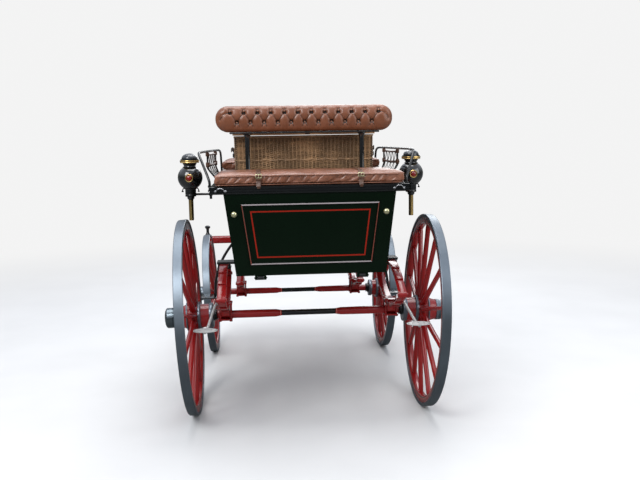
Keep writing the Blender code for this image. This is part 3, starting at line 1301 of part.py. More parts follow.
def make_front_steps():
    """Square treads under the front seat, each on an iron from the body's side."""
    for side, hand in ((-1, "left"), (1, "right")):
        x, y = side * FRONT_STEP_X, ahead(FRONT_STEP_STATION)
        half_x, half_y = FRONT_STEP_SIZE[0] / 2, FRONT_STEP_SIZE[1] / 2
        tread = box((x - half_x, y - half_y, FRONT_STEP_Z),
                    (x + half_x, y + half_y, FRONT_STEP_Z + STEP_THICKNESS))
        height = BODY_BOTTOM + FRONT_STEP_RISE
        start = body_half(height) + GAP
        lead = (start + STEP_LEAD * math.cos(SIDE_SLOPE), height - STEP_LEAD * math.sin(SIDE_SLOPE))
        line = [(start, height), lead, (start + FRONT_STEP_OUT, height - STEP_LEAD)]
        line += [(FRONT_STEP_X - inset, FRONT_STEP_Z + rise) for inset, rise in FRONT_STEP_BENDS]
        stay = tube(smooth_path([(side * a, y, z) for a, z in line], 0.05), STEP_ROD_RADIUS)
        node("front_step_" + hand, "black_iron", union(tread, stay))


def oval(centre, size, count):
    """Points round an oval of a given length and width."""
    return [(centre[0] + size[0] / 2 * math.cos(math.tau * i / count),
             centre[1] + size[1] / 2 * math.sin(math.tau * i / count)) for i in range(count)]


def main():
    """Build the whole cart."""
    clear_scene()
    make_collections()
    make_wheels()
    make_rear_gear()
    make_fore_carriage(make_front_gear())
    make_body()
    make_tailboard()
    make_seats()
    make_hamper()
    make_side_rail(-1, "left")
    make_side_rail(1, "right")
    make_lamps()
    make_front_steps()


main()
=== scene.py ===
"""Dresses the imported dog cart: coach paint, leather, wicker, lamps and ironwork over its frame."""
import math

import bmesh
import bpy
from bpy.props import FloatProperty, FloatVectorProperty, IntProperty, PointerProperty
from mathutils import Matrix, Vector, noise


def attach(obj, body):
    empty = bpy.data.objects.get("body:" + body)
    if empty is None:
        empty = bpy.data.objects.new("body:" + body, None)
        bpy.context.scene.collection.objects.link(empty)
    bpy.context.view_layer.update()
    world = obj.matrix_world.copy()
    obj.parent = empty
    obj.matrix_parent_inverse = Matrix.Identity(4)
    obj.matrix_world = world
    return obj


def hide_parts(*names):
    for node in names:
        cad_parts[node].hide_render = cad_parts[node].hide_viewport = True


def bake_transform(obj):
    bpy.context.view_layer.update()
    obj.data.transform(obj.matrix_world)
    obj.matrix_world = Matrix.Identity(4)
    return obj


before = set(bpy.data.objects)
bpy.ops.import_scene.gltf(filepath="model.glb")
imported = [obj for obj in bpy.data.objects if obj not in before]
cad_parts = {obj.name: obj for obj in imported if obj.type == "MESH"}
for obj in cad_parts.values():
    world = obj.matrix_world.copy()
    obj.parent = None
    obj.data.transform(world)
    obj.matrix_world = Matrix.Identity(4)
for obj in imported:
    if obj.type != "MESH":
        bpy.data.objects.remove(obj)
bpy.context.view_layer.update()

bl_info = {
    "name": "Dog Cart",
    "version": (1, 0, 0),
    "blender": (4, 5, 0),
    "location": "3D View > Sidebar > Dog Cart",
    "description": "Builds the visible pieces of a four-wheeled dog cart over its frame",
    "category": "Add Mesh",
}

# Places of the frame, in metres
REAR_AXLE_Y = -0.62445
FRONT_AXLE_Y = 0.70855
CAMBER = math.radians(2.5)
REAR_WHEEL = {"radius": 0.560, "half_track": 0.686, "y": REAR_AXLE_Y, "spokes": 14, "nave": 1.0}
FRONT_WHEEL = {"radius": 0.434, "half_track": 0.648, "y": FRONT_AXLE_Y, "spokes": 12, "nave": 0.86}
SIDES = (("left", -1), ("right", 1))


# Modelling by hand


def fresh():
    """Leave nothing selected, in object mode."""
    if bpy.context.object and bpy.context.object.mode != "OBJECT":
        bpy.ops.object.mode_set(mode="OBJECT")
    bpy.ops.object.select_all(action="DESELECT")


def added(name):
    """The object that a primitive has just made, named."""
    piece = bpy.context.object
    piece.name = name
    piece.data.name = name
    return piece


def pick(piece):
    """Make one piece the only selected and active one."""
    fresh()
    piece.select_set(True)
    bpy.context.view_layer.objects.active = piece
    return piece


def settle(piece):
    """Write a piece's place into its mesh."""
    pick(piece)
    bpy.ops.object.transform_apply(location=True, rotation=True, scale=True)
    return piece


def opened():
    """Go into edit mode with everything selected."""
    bpy.ops.object.mode_set(mode="EDIT")
    bpy.ops.mesh.select_all(action="SELECT")


def outward(piece, merge=0.00001):
    """Merge doubles and turn every face outwards."""
    pick(piece)
    opened()
    bpy.ops.mesh.remove_doubles(threshold=merge)
    bpy.ops.mesh.normals_make_consistent(inside=False)
    bpy.ops.object.mode_set(mode="OBJECT")
    return piece


def smooth(piece, angle=35):
    """Shade a piece smooth, with sharp edges past an angle."""
    pick(piece)
    bpy.ops.object.shade_smooth_by_angle(angle=math.radians(angle))
    return piece


def modified(piece, kind, **values):
    """Add one modifier with its values and apply it."""
    pick(piece)
    modifier = piece.modifiers.new(kind.title(), kind)
    for key, value in values.items():
        setattr(modifier, key, value)
    bpy.ops.object.modifier_apply(modifier=modifier.name)
    return piece


def joined(name, pieces):
    """Several meshes made one."""
    fresh()
    for piece in pieces:
        piece.select_set(True)
    bpy.context.view_layer.objects.active = pieces[0]
    if len(pieces) > 1:
        bpy.ops.object.join()
    return added(name)


def twin(piece, name, place):
    """Copy a piece with its own mesh and move it by a matrix, faces kept outward."""
    pick(piece)
    bpy.ops.object.duplicate(linked=False)
    copy = added(name)
    copy.data.transform(place)
    if place.to_3x3().determinant() < 0:
        copy.data.flip_normals()
    return copy


def laid_out(samples, places):
    """Copies of the samples in turn, one at each place; the samples are taken away."""
    copies = [twin(samples[i % len(samples)], "copy", place) for i, place in enumerate(places)]
    for sample in samples:
        bpy.data.objects.remove(sample, do_unlink=True)
    return copies


def skinned(name, rings):
    """Closed skin over a row of outlines that have the same number of points."""
    fresh()
    bpy.ops.mesh.primitive_plane_add(size=0.001)
    piece = settle(added(name))
    cage = bmesh.new()
    rings = [[cage.verts.new(place) for place in ring] for ring in rings]
    for before, after in zip(rings, rings[1:]):
        for i in range(len(before)):
            j = (i + 1) % len(before)
            cage.faces.new((before[i], before[j], after[j], after[i]))
    cage.faces.new(rings[0])
    cage.faces.new(rings[-1])
    cage.to_mesh(piece.data)
    cage.free()
    return piece


def below(top, *pairs):
    """Profile points given by radius and depth below a height."""
    return [(radius, top - depth) for radius, depth in pairs]


def block(name, low, high, bevel=0.0, segments=2):
    """Rectangular block with rounded edges."""
    fresh()
    low, high = Vector(low), Vector(high)
    bpy.ops.mesh.primitive_cube_add(size=1, location=(low + high) / 2)
    piece = added(name)
    piece.scale = high - low
    settle(piece)
    if bevel:
        opened()
        bpy.ops.mesh.bevel(offset=bevel, segments=segments, affect="EDGES")
        bpy.ops.object.mode_set(mode="OBJECT")
    return smooth(piece)


def turned(name, profile, place, steps=32, ring=False, angle=30):
    """Outline of (radius, height) points spun about local Z, then placed."""
    fresh()
    first = profile[0]
    bpy.ops.mesh.primitive_plane_add(size=0.001, location=(first[0], 0, first[1]))
    piece = added(name)
    settle(piece)
    opened()
    bpy.ops.mesh.merge(type="CENTER")
    outline = list(profile[1:]) + ([first] if ring else [])
    for before, after in zip([first] + outline, outline):
        step = (after[0] - before[0], 0, after[1] - before[1])
        bpy.ops.mesh.extrude_region_move(TRANSFORM_OT_translate={"value": step})
    bpy.ops.mesh.select_all(action="SELECT")
    bpy.ops.mesh.remove_doubles(threshold=0.00001)
    bpy.ops.mesh.select_all(action="SELECT")
    bpy.ops.mesh.spin(steps=steps, angle=math.tau, center=(0, 0, 0), axis=(0, 0, 1))
    bpy.ops.object.mode_set(mode="OBJECT")
    outward(piece, 0.00002)
    piece.data.transform(place)
    return smooth(piece, angle)


def wire(name, points, radius, sides=4, cyclic=False, smooth_curve=True, cap=True):
    """Round bar along points, as a mesh."""
    fresh()
    bpy.ops.curve.primitive_nurbs_path_add(location=(0, 0, 0))
    piece = added(name)
    curve = piece.data
    curve.splines.clear()
    spline = curve.splines.new("NURBS" if smooth_curve else "POLY")
    spline.points.add(len(points) - 1)
    for point, place in zip(spline.points, points):
        point.co = (*place, 1)
    spline.use_cyclic_u = cyclic
    if smooth_curve:
        spline.order_u = 3
        spline.use_endpoint_u = True
        spline.resolution_u = 6
    curve.dimensions = "3D"
    curve.bevel_depth = radius
    curve.bevel_resolution = sides
    curve.use_fill_caps = cap and not cyclic
    bpy.ops.object.convert(target="MESH")
    piece = added(name)
    outward(piece)
    return smooth(piece, 50)


def strip(name, points, width, thickness, across, bevel=0.0):
    """Flat bar of a width along one axis that follows points in the plane square to it."""
    fresh()
    bpy.ops.mesh.primitive_plane_add(size=1, location=(0, 0, 0))
    piece = added(name)
    across = Vector(across)
    opened()
    bpy.ops.mesh.delete(type="ONLY_FACE")
    bpy.ops.mesh.select_all(action="SELECT")
    bpy.ops.mesh.merge(type="CENTER")
    bpy.ops.transform.translate(value=Vector(points[0]))
    for before, after in zip(points, points[1:]):
        step = Vector(after) - Vector(before)
        bpy.ops.mesh.extrude_region_move(TRANSFORM_OT_translate={"value": step})
    bpy.ops.mesh.select_all(action="SELECT")
    bpy.ops.transform.translate(value=-across * width / 2)
    bpy.ops.mesh.extrude_region_move(TRANSFORM_OT_translate={"value": across * width})
    bpy.ops.object.mode_set(mode="OBJECT")
    outward(piece)
    modified(piece, "SOLIDIFY", thickness=thickness, offset=0.0, use_even_offset=True)
    outward(piece)
    if bevel:
        modified(piece, "BEVEL", width=bevel, segments=2, limit_method="ANGLE", angle_limit=math.radians(40))
    return smooth(piece, 30)


# Shader groups


def new_group(name, inputs, outputs):
    """Empty shader group with named sockets, and its input and output nodes."""
    tree = bpy.data.node_groups.new(name, "ShaderNodeTree")
    for label, kind, value in inputs:
        socket = tree.interface.new_socket(label, in_out="INPUT", socket_type="NodeSocket" + kind)
        if kind == "Float":
            socket.default_value = value
        elif kind == "Color":
            socket.default_value = (*value, 1)
        else:
            socket.default_value = value
    for label, kind in outputs:
        tree.interface.new_socket(label, in_out="OUTPUT", socket_type="NodeSocket" + kind)
    return tree, tree.nodes.new("NodeGroupInput"), tree.nodes.new("NodeGroupOutput")


def put(tree, kind, links=None, **values):
    """Add a node, set its fields and sockets, and link what feeds it."""
    node = tree.nodes.new("ShaderNode" + kind)
    for key, value in values.items():
        if hasattr(node, key) and key not in node.inputs:
            setattr(node, key, value)
        else:
            node.inputs[key].default_value = value
    for key, source in (links or {}).items():
        tree.links.new(source, node.inputs[key])
    return node


def maths(tree, operation, *values):
    """Math node of one operation; a value is a number or a socket."""
    node = tree.nodes.new("ShaderNodeMath")
    node.operation = operation
    for socket, value in zip(node.inputs, values):
        if isinstance(value, (int, float)):
            socket.default_value = value
        else:
            tree.links.new(value, socket)
    return node.outputs[0]


def vector_maths(tree, operation, *values):
    """Vector Math node of one operation; a value is a tuple or a socket."""
    node = tree.nodes.new("ShaderNodeVectorMath")
    node.operation = operation
    for socket, value in zip(node.inputs, values):
        if isinstance(value, (tuple, Vector)):
            socket.default_value = value
        else:
            tree.links.new(value, socket)
    return node.outputs["Value" if operation in ("DOT_PRODUCT", "LENGTH", "DISTANCE") else "Vector"]


def mixed(tree, factor, first, second):
    """Colour mix of two colours or sockets by a factor or socket."""
    node = tree.nodes.new("ShaderNodeMix")
    node.data_type = "RGBA"
    for socket, value in ((node.inputs[0], factor), (node.inputs[6], first), (node.inputs[7], second)):
        if isinstance(value, (int, float)):
            socket.default_value = value
        elif isinstance(value, tuple):
            socket.default_value = (*value, 1) if len(value) == 3 else value
        else:
            tree.links.new(value, socket)
    return node.outputs[2]


def split_up(tree, vector):
    """The X, Y and Z sockets of a vector."""
    return put(tree, "SeparateXYZ", {"Vector": vector}).outputs


def ranged(tree, value, low, high, out_low=0.0, out_high=1.0):
    """Map Range node, clamped and smooth."""
    node = tree.nodes.new("ShaderNodeMapRange")
    node.interpolation_type = "SMOOTHSTEP"
    tree.links.new(value, node.inputs["Value"])
    for key, number in (("From Min", low), ("From Max", high), ("To Min", out_low), ("To Max", out_high)):
        node.inputs[key].default_value = number
    return node.outputs["Result"]


def build_patina_group():
    """Slow shifts of colour and fine scuffs, for paint and metal."""
    tree, source, out = new_group("Patina", [
        ("Vector", "Vector", (0, 0, 0)), ("Base", "Color", (0.1, 0.1, 0.1)), ("Worn", "Color", (0.3, 0.3, 0.3)),
        ("Shift", "Float", 0.2), ("Wear", "Float", 0.3), ("Gloss Low", "Float", 0.2), ("Gloss High", "Float", 0.4),
        ("Grain Size", "Float", 60.0)], [("Color", "Color"), ("Roughness", "Float"), ("Height", "Float")])
    vector = source.outputs["Vector"]
    broad = put(tree, "TexNoise", {"Vector": vector}, Scale=3.5, Detail=4.0, Roughness=0.6)
    fine = put(tree, "TexNoise", {"Vector": vector, "Scale": source.outputs["Grain Size"]}, Detail=6.0,
               Roughness=0.65)
    shade = maths(tree, "MULTIPLY", maths(tree, "SUBTRACT", broad.outputs["Fac"], 0.5), source.outputs["Shift"])
    lighter = put(tree, "HueSaturation", {"Color": source.outputs["Base"],
                                          "Value": maths(tree, "ADD", maths(tree, "MULTIPLY", shade, 2.0), 1.0)})
    scuff = maths(tree, "MULTIPLY", ranged(tree, fine.outputs["Fac"], 0.56, 0.78),
                  ranged(tree, broad.outputs["Fac"], 0.42, 0.68))
    scuff = maths(tree, "MULTIPLY", scuff, source.outputs["Wear"])
    tree.links.new(mixed(tree, scuff, lighter.outputs["Color"], source.outputs["Worn"]), out.inputs["Color"])
    gloss = tree.nodes.new("ShaderNodeMapRange")
    tree.links.new(broad.outputs["Fac"], gloss.inputs["Value"])
    gloss.inputs["From Min"].default_value = 0.3
    gloss.inputs["From Max"].default_value = 0.7
    tree.links.new(source.outputs["Gloss Low"], gloss.inputs["To Min"])
    tree.links.new(source.outputs["Gloss High"], gloss.inputs["To Max"])
    rough = maths(tree, "ADD", gloss.outputs["Result"], maths(tree, "MULTIPLY", scuff, 0.35))
    tree.links.new(rough, out.inputs["Roughness"])
    tree.links.new(fine.outputs["Fac"], out.inputs["Height"])
    return tree


def build_leather_group():
    """Fine pebble grain, broad mottling, and darker creases."""
    tree, source, out = new_group("Leather Grain", [
        ("Vector", "Vector", (0, 0, 0)), ("Base", "Color", (0.2, 0.08, 0.05)), ("Dark", "Color", (0.05, 0.02, 0.01)),
        ("Rubbed", "Color", (0.4, 0.2, 0.14)), ("Crumple", "Float", 0.5), ("Pebble Size", "Float", 420.0)],
        [("Color", "Color"), ("Roughness", "Float"), ("Height", "Float")])
    vector = source.outputs["Vector"]
    pebble = put(tree, "TexVoronoi", {"Vector": vector, "Scale": source.outputs["Pebble Size"]},
                 feature="DISTANCE_TO_EDGE")
    mottle = put(tree, "TexNoise", {"Vector": vector}, Scale=11.0, Detail=5.0, Roughness=0.62)
    folds = put(tree, "TexNoise", {"Vector": vector}, Scale=26.0, Detail=3.0, Roughness=0.5, Distortion=1.6)
    valley = maths(tree, "ABSOLUTE", maths(tree, "SUBTRACT", folds.outputs["Fac"], 0.5))
    crease = maths(tree, "MULTIPLY", ranged(tree, valley, 0.0, 0.035, 1.0, 0.0), source.outputs["Crumple"])
    base = mixed(tree, ranged(tree, mottle.outputs["Fac"], 0.35, 0.72), source.outputs["Base"],
                 source.outputs["Rubbed"])
    toned = mixed(tree, maths(tree, "MULTIPLY", crease, 0.75), base, source.outputs["Dark"])
    grain = ranged(tree, pebble.outputs["Distance"], 0.0, 0.35)
    toned = mixed(tree, maths(tree, "SUBTRACT", 0.22, maths(tree, "MULTIPLY", grain, 0.22)), toned,
                  source.outputs["Dark"])
    tree.links.new(toned, out.inputs["Color"])
    rough = maths(tree, "ADD", ranged(tree, mottle.outputs["Fac"], 0.3, 0.7, 0.30, 0.48),
                  maths(tree, "MULTIPLY", crease, 0.2))
    tree.links.new(rough, out.inputs["Roughness"])
    height = maths(tree, "SUBTRACT", maths(tree, "MULTIPLY", grain, 0.12), crease)
    tree.links.new(height, out.inputs["Height"])
    return tree


def build_wood_group():
    """Long grain along one axis, for boards and willow."""
    tree, source, out = new_group("Wood Grain", [
        ("Vector", "Vector", (0, 0, 0)), ("Base", "Color", (0.3, 0.18, 0.1)), ("Dark", "Color", (0.1, 0.05, 0.02)),
        ("Stretch", "Vector", (30.0, 2.0, 30.0))], [("Color", "Color"), ("Roughness", "Float"), ("Height", "Float")])
    scaled = vector_maths(tree, "MULTIPLY", source.outputs["Vector"], source.outputs["Stretch"])
    grain = put(tree, "TexNoise", {"Vector": scaled}, Scale=1.0, Detail=6.0, Roughness=0.7, Distortion=0.6)
    broad = put(tree, "TexNoise", {"Vector": source.outputs["Vector"]}, Scale=5.0, Detail=2.0)
    value = maths(tree, "MULTIPLY", grain.outputs["Fac"], ranged(tree, broad.outputs["Fac"], 0.3, 0.7, 0.7, 1.25))
    tree.links.new(mixed(tree, ranged(tree, value, 0.36, 0.66), source.outputs["Dark"], source.outputs["Base"]),
                   out.inputs["Color"])
    tree.links.new(ranged(tree, grain.outputs["Fac"], 0.3, 0.7, 0.62, 0.42), out.inputs["Roughness"])
    tree.links.new(grain.outputs["Fac"], out.inputs["Height"])
    return tree


def build_edge_group():
    """Mask of where a value lies within a half width of a line."""
    tree, source, out = new_group("Painted Line", [
        ("Value", "Float", 0.0), ("At", "Float", 0.0), ("Half Width", "Float", 0.002)], [("Mask", "Float")])
    gap = maths(tree, "ABSOLUTE", maths(tree, "SUBTRACT", source.outputs["Value"], source.outputs["At"]))
    near = tree.nodes.new("ShaderNodeMapRange")
    near.interpolation_type = "SMOOTHSTEP"
    tree.links.new(gap, near.inputs["Value"])
    tree.links.new(maths(tree, "MULTIPLY", source.outputs["Half Width"], 1.15), near.inputs["From Min"])
    tree.links.new(maths(tree, "MULTIPLY", source.outputs["Half Width"], 0.85), near.inputs["From Max"])
    tree.links.new(near.outputs["Result"], out.inputs["Mask"])
    return tree


def grouped(material, group, vector=None, **values):
    """Place a shader group in a material with its own values."""
    node = material.node_tree.nodes.new("ShaderNodeGroup")
    node.node_tree = GROUPS[group]
    if vector is not None:
        material.node_tree.links.new(vector, node.inputs["Vector"])
    for key, value in values.items():
        label = key.replace("_", " ")
        if isinstance(value, tuple) and node.inputs[label].type == "RGBA":
            value = (*value, 1)
        node.inputs[label].default_value = value
    return node


GROUPS = {}
FINISHES = {}


def blank(name, **shader_values):
    """Material with its Principled shader, constants on the shader's own sockets, and object coordinates."""
    material = bpy.data.materials.new(name)
    material.use_nodes = True
    tree = material.node_tree
    shader = tree.nodes["Principled BSDF"]
    for key, value in shader_values.items():
        shader.inputs[key.replace("_", " ")].default_value = value
    coords = tree.nodes.new("ShaderNodeTexCoord")
    return material, tree, shader, coords.outputs["Object"]


def wire_up(tree, shader, colour, rough=None, height=None, strength=0.3, distance=0.001):
    """Feed colour, roughness and a bump into the shader."""
    tree.links.new(colour, shader.inputs["Base Color"])
    if rough is not None:
        tree.links.new(rough, shader.inputs["Roughness"])
    if height is not None:
        bump = tree.nodes.new("ShaderNodeBump")
        bump.inputs["Strength"].default_value = strength
        bump.inputs["Distance"].default_value = distance
        tree.links.new(height, bump.inputs["Height"])
        tree.links.new(bump.outputs["Normal"], shader.inputs["Normal"])


def painted(name, base, worn, low, high, shift=0.25, wear=0.25, coat=0.6, metallic=0.0, bump=0.02, grain=70.0,
            specular=0.5):
    """Varnished or bare finish with patina."""
    material, tree, shader, coords = blank(name, Coat_Weight=coat, Coat_Roughness=0.06, Metallic=metallic)
    shader.inputs["Specular IOR Level"].default_value = specular
    patina = grouped(material, "Patina", coords, Base=base, Worn=worn, Shift=shift, Wear=wear, Gloss_Low=low,
                     Gloss_High=high, Grain_Size=grain)
    wire_up(tree, shader, patina.outputs["Color"], patina.outputs["Roughness"], patina.outputs["Height"], bump)
    FINISHES[name] = material
    return material


# Settings that a user may change


def colour_property(name, description, default):
    """Colour setting of a finish."""
    return FloatVectorProperty(name=name, description=description, subtype="COLOR", size=3, default=default, min=0,
                               max=1)


class DogCartFinish(bpy.types.PropertyGroup):
    """Colours and sizes of the cart's finish."""
    running_red: colour_property("Running gear", "Paint of the wheels, axles and springs", (0.225, 0.008, 0.008))
    body_green: colour_property("Body", "Coach paint of the body panels", (0.0014, 0.0052, 0.0020))
    trim_black: colour_property("Trim", "Paint of the irons and mouldings", (0.0055, 0.0062, 0.0066))
    leather_brown: colour_property("Leather", "Cushions and backrest", (0.190, 0.062, 0.026))
    willow: colour_property("Willow", "Wicker of the hamper", (0.430, 0.258, 0.132))
    line_red: colour_property("Lines", "Painted line on the tailboard", (0.230, 0.013, 0.006))
    line_width: FloatProperty(name="Line width", description="Width of the tailboard's painted line",
                              default=0.0074, min=0.002, max=0.03, unit="LENGTH")
    bolster_buttons: IntProperty(name="Buttons", description="Buttons in the backrest's upper row", default=12,
                                 min=4, max=20)
    tuft: FloatProperty(name="Tuft depth", description="How deep the buttons pull into the backrest",
                        default=0.021, min=0.0, max=0.03, unit="LENGTH")
    stake_pitch: FloatProperty(name="Stake pitch", description="Distance between the hamper's upright stakes",
                               default=0.0236, min=0.01, max=0.05, unit="LENGTH")


def settings():
    """The scene's finish settings."""
    return bpy.context.scene.dog_cart_finish


def triple(colour):
    """A colour property as a plain tuple."""
    return tuple(colour)


# Finishes


def wheel_matrix(wheel, side):
    """Place of a wheel: local Z points out along its arm, local X forward."""
    outward_axis = Vector((side * math.cos(CAMBER), 0, -math.sin(CAMBER)))
    forward = Vector((0, side, 0))
    up = outward_axis.cross(forward)
    turn = Matrix((forward, up, outward_axis)).transposed().to_4x4()
    height = wheel["radius"] * math.cos(CAMBER)
    return Matrix.Translation((side * wheel["half_track"], wheel["y"], height)) @ turn


def undercoat(material):
    """A painted material's tree, its coordinates, and the colour that its lines go over."""
    tree = material.node_tree
    coords = next(node for node in tree.nodes if node.type == "TEX_COORD")
    return tree, coords, tree.nodes["Principled BSDF"].inputs["Base Color"].links[0].from_socket


def add_lining(tree, under, mask, line):
    """Paint a line of a colour over what is under it by a mask, as the material's new colour."""
    lined = mixed(tree, mask, under, line)
    tree.links.new(lined, tree.nodes["Principled BSDF"].inputs["Base Color"])
    return lined


def lined_red(name, mask_builder):
    """Red coach paint with fine black and pink lines where the mask builder puts them."""
    finish = settings()
    material = painted(name, triple(finish.running_red), (0.36, 0.05, 0.035), 0.10, 0.26, shift=0.22, wear=0.08,
                       coat=0.35, specular=0.35, bump=0.015)
    tree, coords, under = undercoat(material)
    dark, pale = mask_builder(tree, coords)
    lined = add_lining(tree, under, dark, triple(finish.trim_black))
    add_lining(tree, lined, pale, (0.55, 0.22, 0.16))


def line_mask(tree, value, at, half):
    """Painted Line group around a value."""
    node = tree.nodes.new("ShaderNodeGroup")
    node.node_tree = GROUPS["Painted Line"]
    tree.links.new(value, node.inputs["Value"])
    node.inputs["At"].default_value = at
    node.inputs["Half Width"].default_value = half
    return node.outputs["Mask"]


def wheel_radius_socket(tree, coords, wheel, side):
    """Distance from a wheel's axis, worked out from object coordinates."""
    place = wheel_matrix(wheel, side)
    axis = place.to_3x3().col[2]
    away = vector_maths(tree, "SUBTRACT", coords.outputs["Object"], tuple(place.translation))
    along = vector_maths(tree, "DOT_PRODUCT", away, tuple(axis))
    squared = vector_maths(tree, "DOT_PRODUCT", away, away)
    return maths(tree, "SQRT", maths(tree, "SUBTRACT", squared, maths(tree, "MULTIPLY", along, along)))


def felloe_mask(wheel, side):
    """Mask builder for the ring of felloes: two fine lines near its inner and outer edges."""
    def build(tree, coords):
        """Masks of the dark lines and of the pale one."""
        radius = wheel_radius_socket(tree, coords, wheel, side)
        inner = wheel["radius"] - TYRE_DEPTH - FELLOE_DEPTH - 0.0005
        dark = maths(tree, "MAXIMUM", line_mask(tree, radius, inner + 0.012, 0.0028),
                     line_mask(tree, radius, inner + 0.030, 0.0018))
        pale = line_mask(tree, radius, inner + 0.0165, 0.0009)
        return dark, pale
    return build


def spoke_mask():
    """Mask builder for spokes: a line down the middle, read from the spoke's own map."""
    def build(tree, coords):
        """Masks of the dark line and of the pale one."""
        place = split_up(tree, coords.outputs["UV"])
        across = maths(tree, "ABSOLUTE", place["X"])
        inside = maths(tree, "MULTIPLY", maths(tree, "GREATER_THAN", place["Y"], 0.16),
                       maths(tree, "LESS_THAN", place["Y"], 0.86))
        dark = maths(tree, "MULTIPLY", line_mask(tree, across, 0.0, 0.0024), inside)
        pale = maths(tree, "MULTIPLY", line_mask(tree, across, 0.0036, 0.0007), inside)
        return dark, pale
    return build


def bar_mask(half):
    """Mask builder for an axle: black up to a half width from its middle, then a pale line."""
    def build(tree, coords):
        """Masks of the dark middle and of the pale line."""
        across = maths(tree, "ABSOLUTE", split_up(tree, coords.outputs["Object"])["X"])
        return maths(tree, "LESS_THAN", across, half), line_mask(tree, across, half + 0.006, 0.0012)
    return build


def tail_paint():
    """Green coach paint with the thin red rectangle inside the moulding."""
    finish = settings()
    material = painted("coach_green_lined", triple(finish.body_green), (0.03, 0.05, 0.035), 0.05, 0.14, shift=0.3,
                       wear=0.02, coat=0.06, bump=0.006, grain=40.0, specular=0.14)
    tree, coords, under = undercoat(material)
    place = split_up(tree, coords.outputs["Object"])
    low, high = 0.950, 1.1915
    half_low, half_high = 0.2840, 0.3150
    slope = (half_high - half_low) / (high - low)
    edge = maths(tree, "ADD", maths(tree, "MULTIPLY", maths(tree, "SUBTRACT", place["Z"], low), slope), half_low)
    across = maths(tree, "SUBTRACT", maths(tree, "ABSOLUTE", place["X"]), edge)
    off = maths(tree, "ABSOLUTE", maths(tree, "SUBTRACT", place["Z"], (low + high) / 2))
    reach = maths(tree, "MAXIMUM", across, maths(tree, "SUBTRACT", off, (high - low) / 2))
    mask = line_mask(tree, reach, 0.0, finish.line_width / 2)
    rear = maths(tree, "LESS_THAN", place["Y"], TAIL_FACE + 0.001)
    add_lining(tree, under, maths(tree, "MULTIPLY", mask, rear), triple(finish.line_red))


def ridge(name, base, line):
    """Dark bead with a line along its crest where the mesh attribute of that name is set; the grey line is a painted
    highlight, the red one the bead's lining.
    """
    material = painted(name, base, (0.03, 0.05, 0.035), 0.10, 0.25, wear=0.03, coat=0.10, bump=0.01, specular=0.2)
    tree, _, under = undercoat(material)
    add_lining(tree, under, put(tree, "Attribute", attribute_name="line").outputs["Fac"], line)


def leather(name, base, rubbed, crumple, pebble=420.0, bump=0.35, fold=None, coat=0.22):
    """Leather with a pebble grain, mottling and creases, and painted shade where a named attribute of the mesh says
    so.
    """
    material, tree, shader, coords = blank(name, Coat_Weight=coat, Coat_Roughness=0.30)
    shader.inputs["Specular IOR Level"].default_value = 0.40
    dark = tuple(value * 0.22 for value in base)
    grain = grouped(material, "Leather Grain", coords, Base=base, Dark=dark, Rubbed=rubbed, Crumple=crumple,
                    Pebble_Size=pebble)
    colour = grain.outputs["Color"]
    # Painted shade: the colour goes towards a near-black of the base where the named attribute is high.
    if fold:
        depth = put(tree, "Attribute", attribute_name=fold)
        shade = tuple(value * 0.08 for value in base)
        colour = mixed(tree, ranged(tree, depth.outputs["Fac"], 0.10, 0.70), colour, shade)
    wire_up(tree, shader, colour, grain.outputs["Roughness"], grain.outputs["Height"], bump, 0.0012)
    FINISHES[name] = material


def wood(name, base, dark, stretch, bump=0.25, coat=0.0):
    """Wood or willow with a long grain."""
    material, tree, shader, coords = blank(name, Coat_Weight=coat, Coat_Roughness=0.2)
    grain = grouped(material, "Wood Grain", coords, Base=base, Dark=dark, Stretch=stretch)
    wire_up(tree, shader, grain.outputs["Color"], grain.outputs["Roughness"], grain.outputs["Height"], bump, 0.0008)
    FINISHES[name] = material


def glass(name, colour, roughness=0.05):
    """Thick coloured lens glass with a faint ripple."""
    material, tree, shader, coords = blank(name, Roughness=roughness, IOR=1.5, Coat_Weight=1.0)
    shader.inputs["Transmission Weight"].default_value = 0.35
    ripple = put(tree, "TexNoise", {"Vector": coords}, Scale=90.0, Detail=2.0)
    tint = mixed(tree, ranged(tree, ripple.outputs["Fac"], 0.35, 0.65), colour, tuple(v * 0.6 for v in colour))
    wire_up(tree, shader, tint, None, ripple.outputs["Fac"], 0.06)
    FINISHES[name] = material


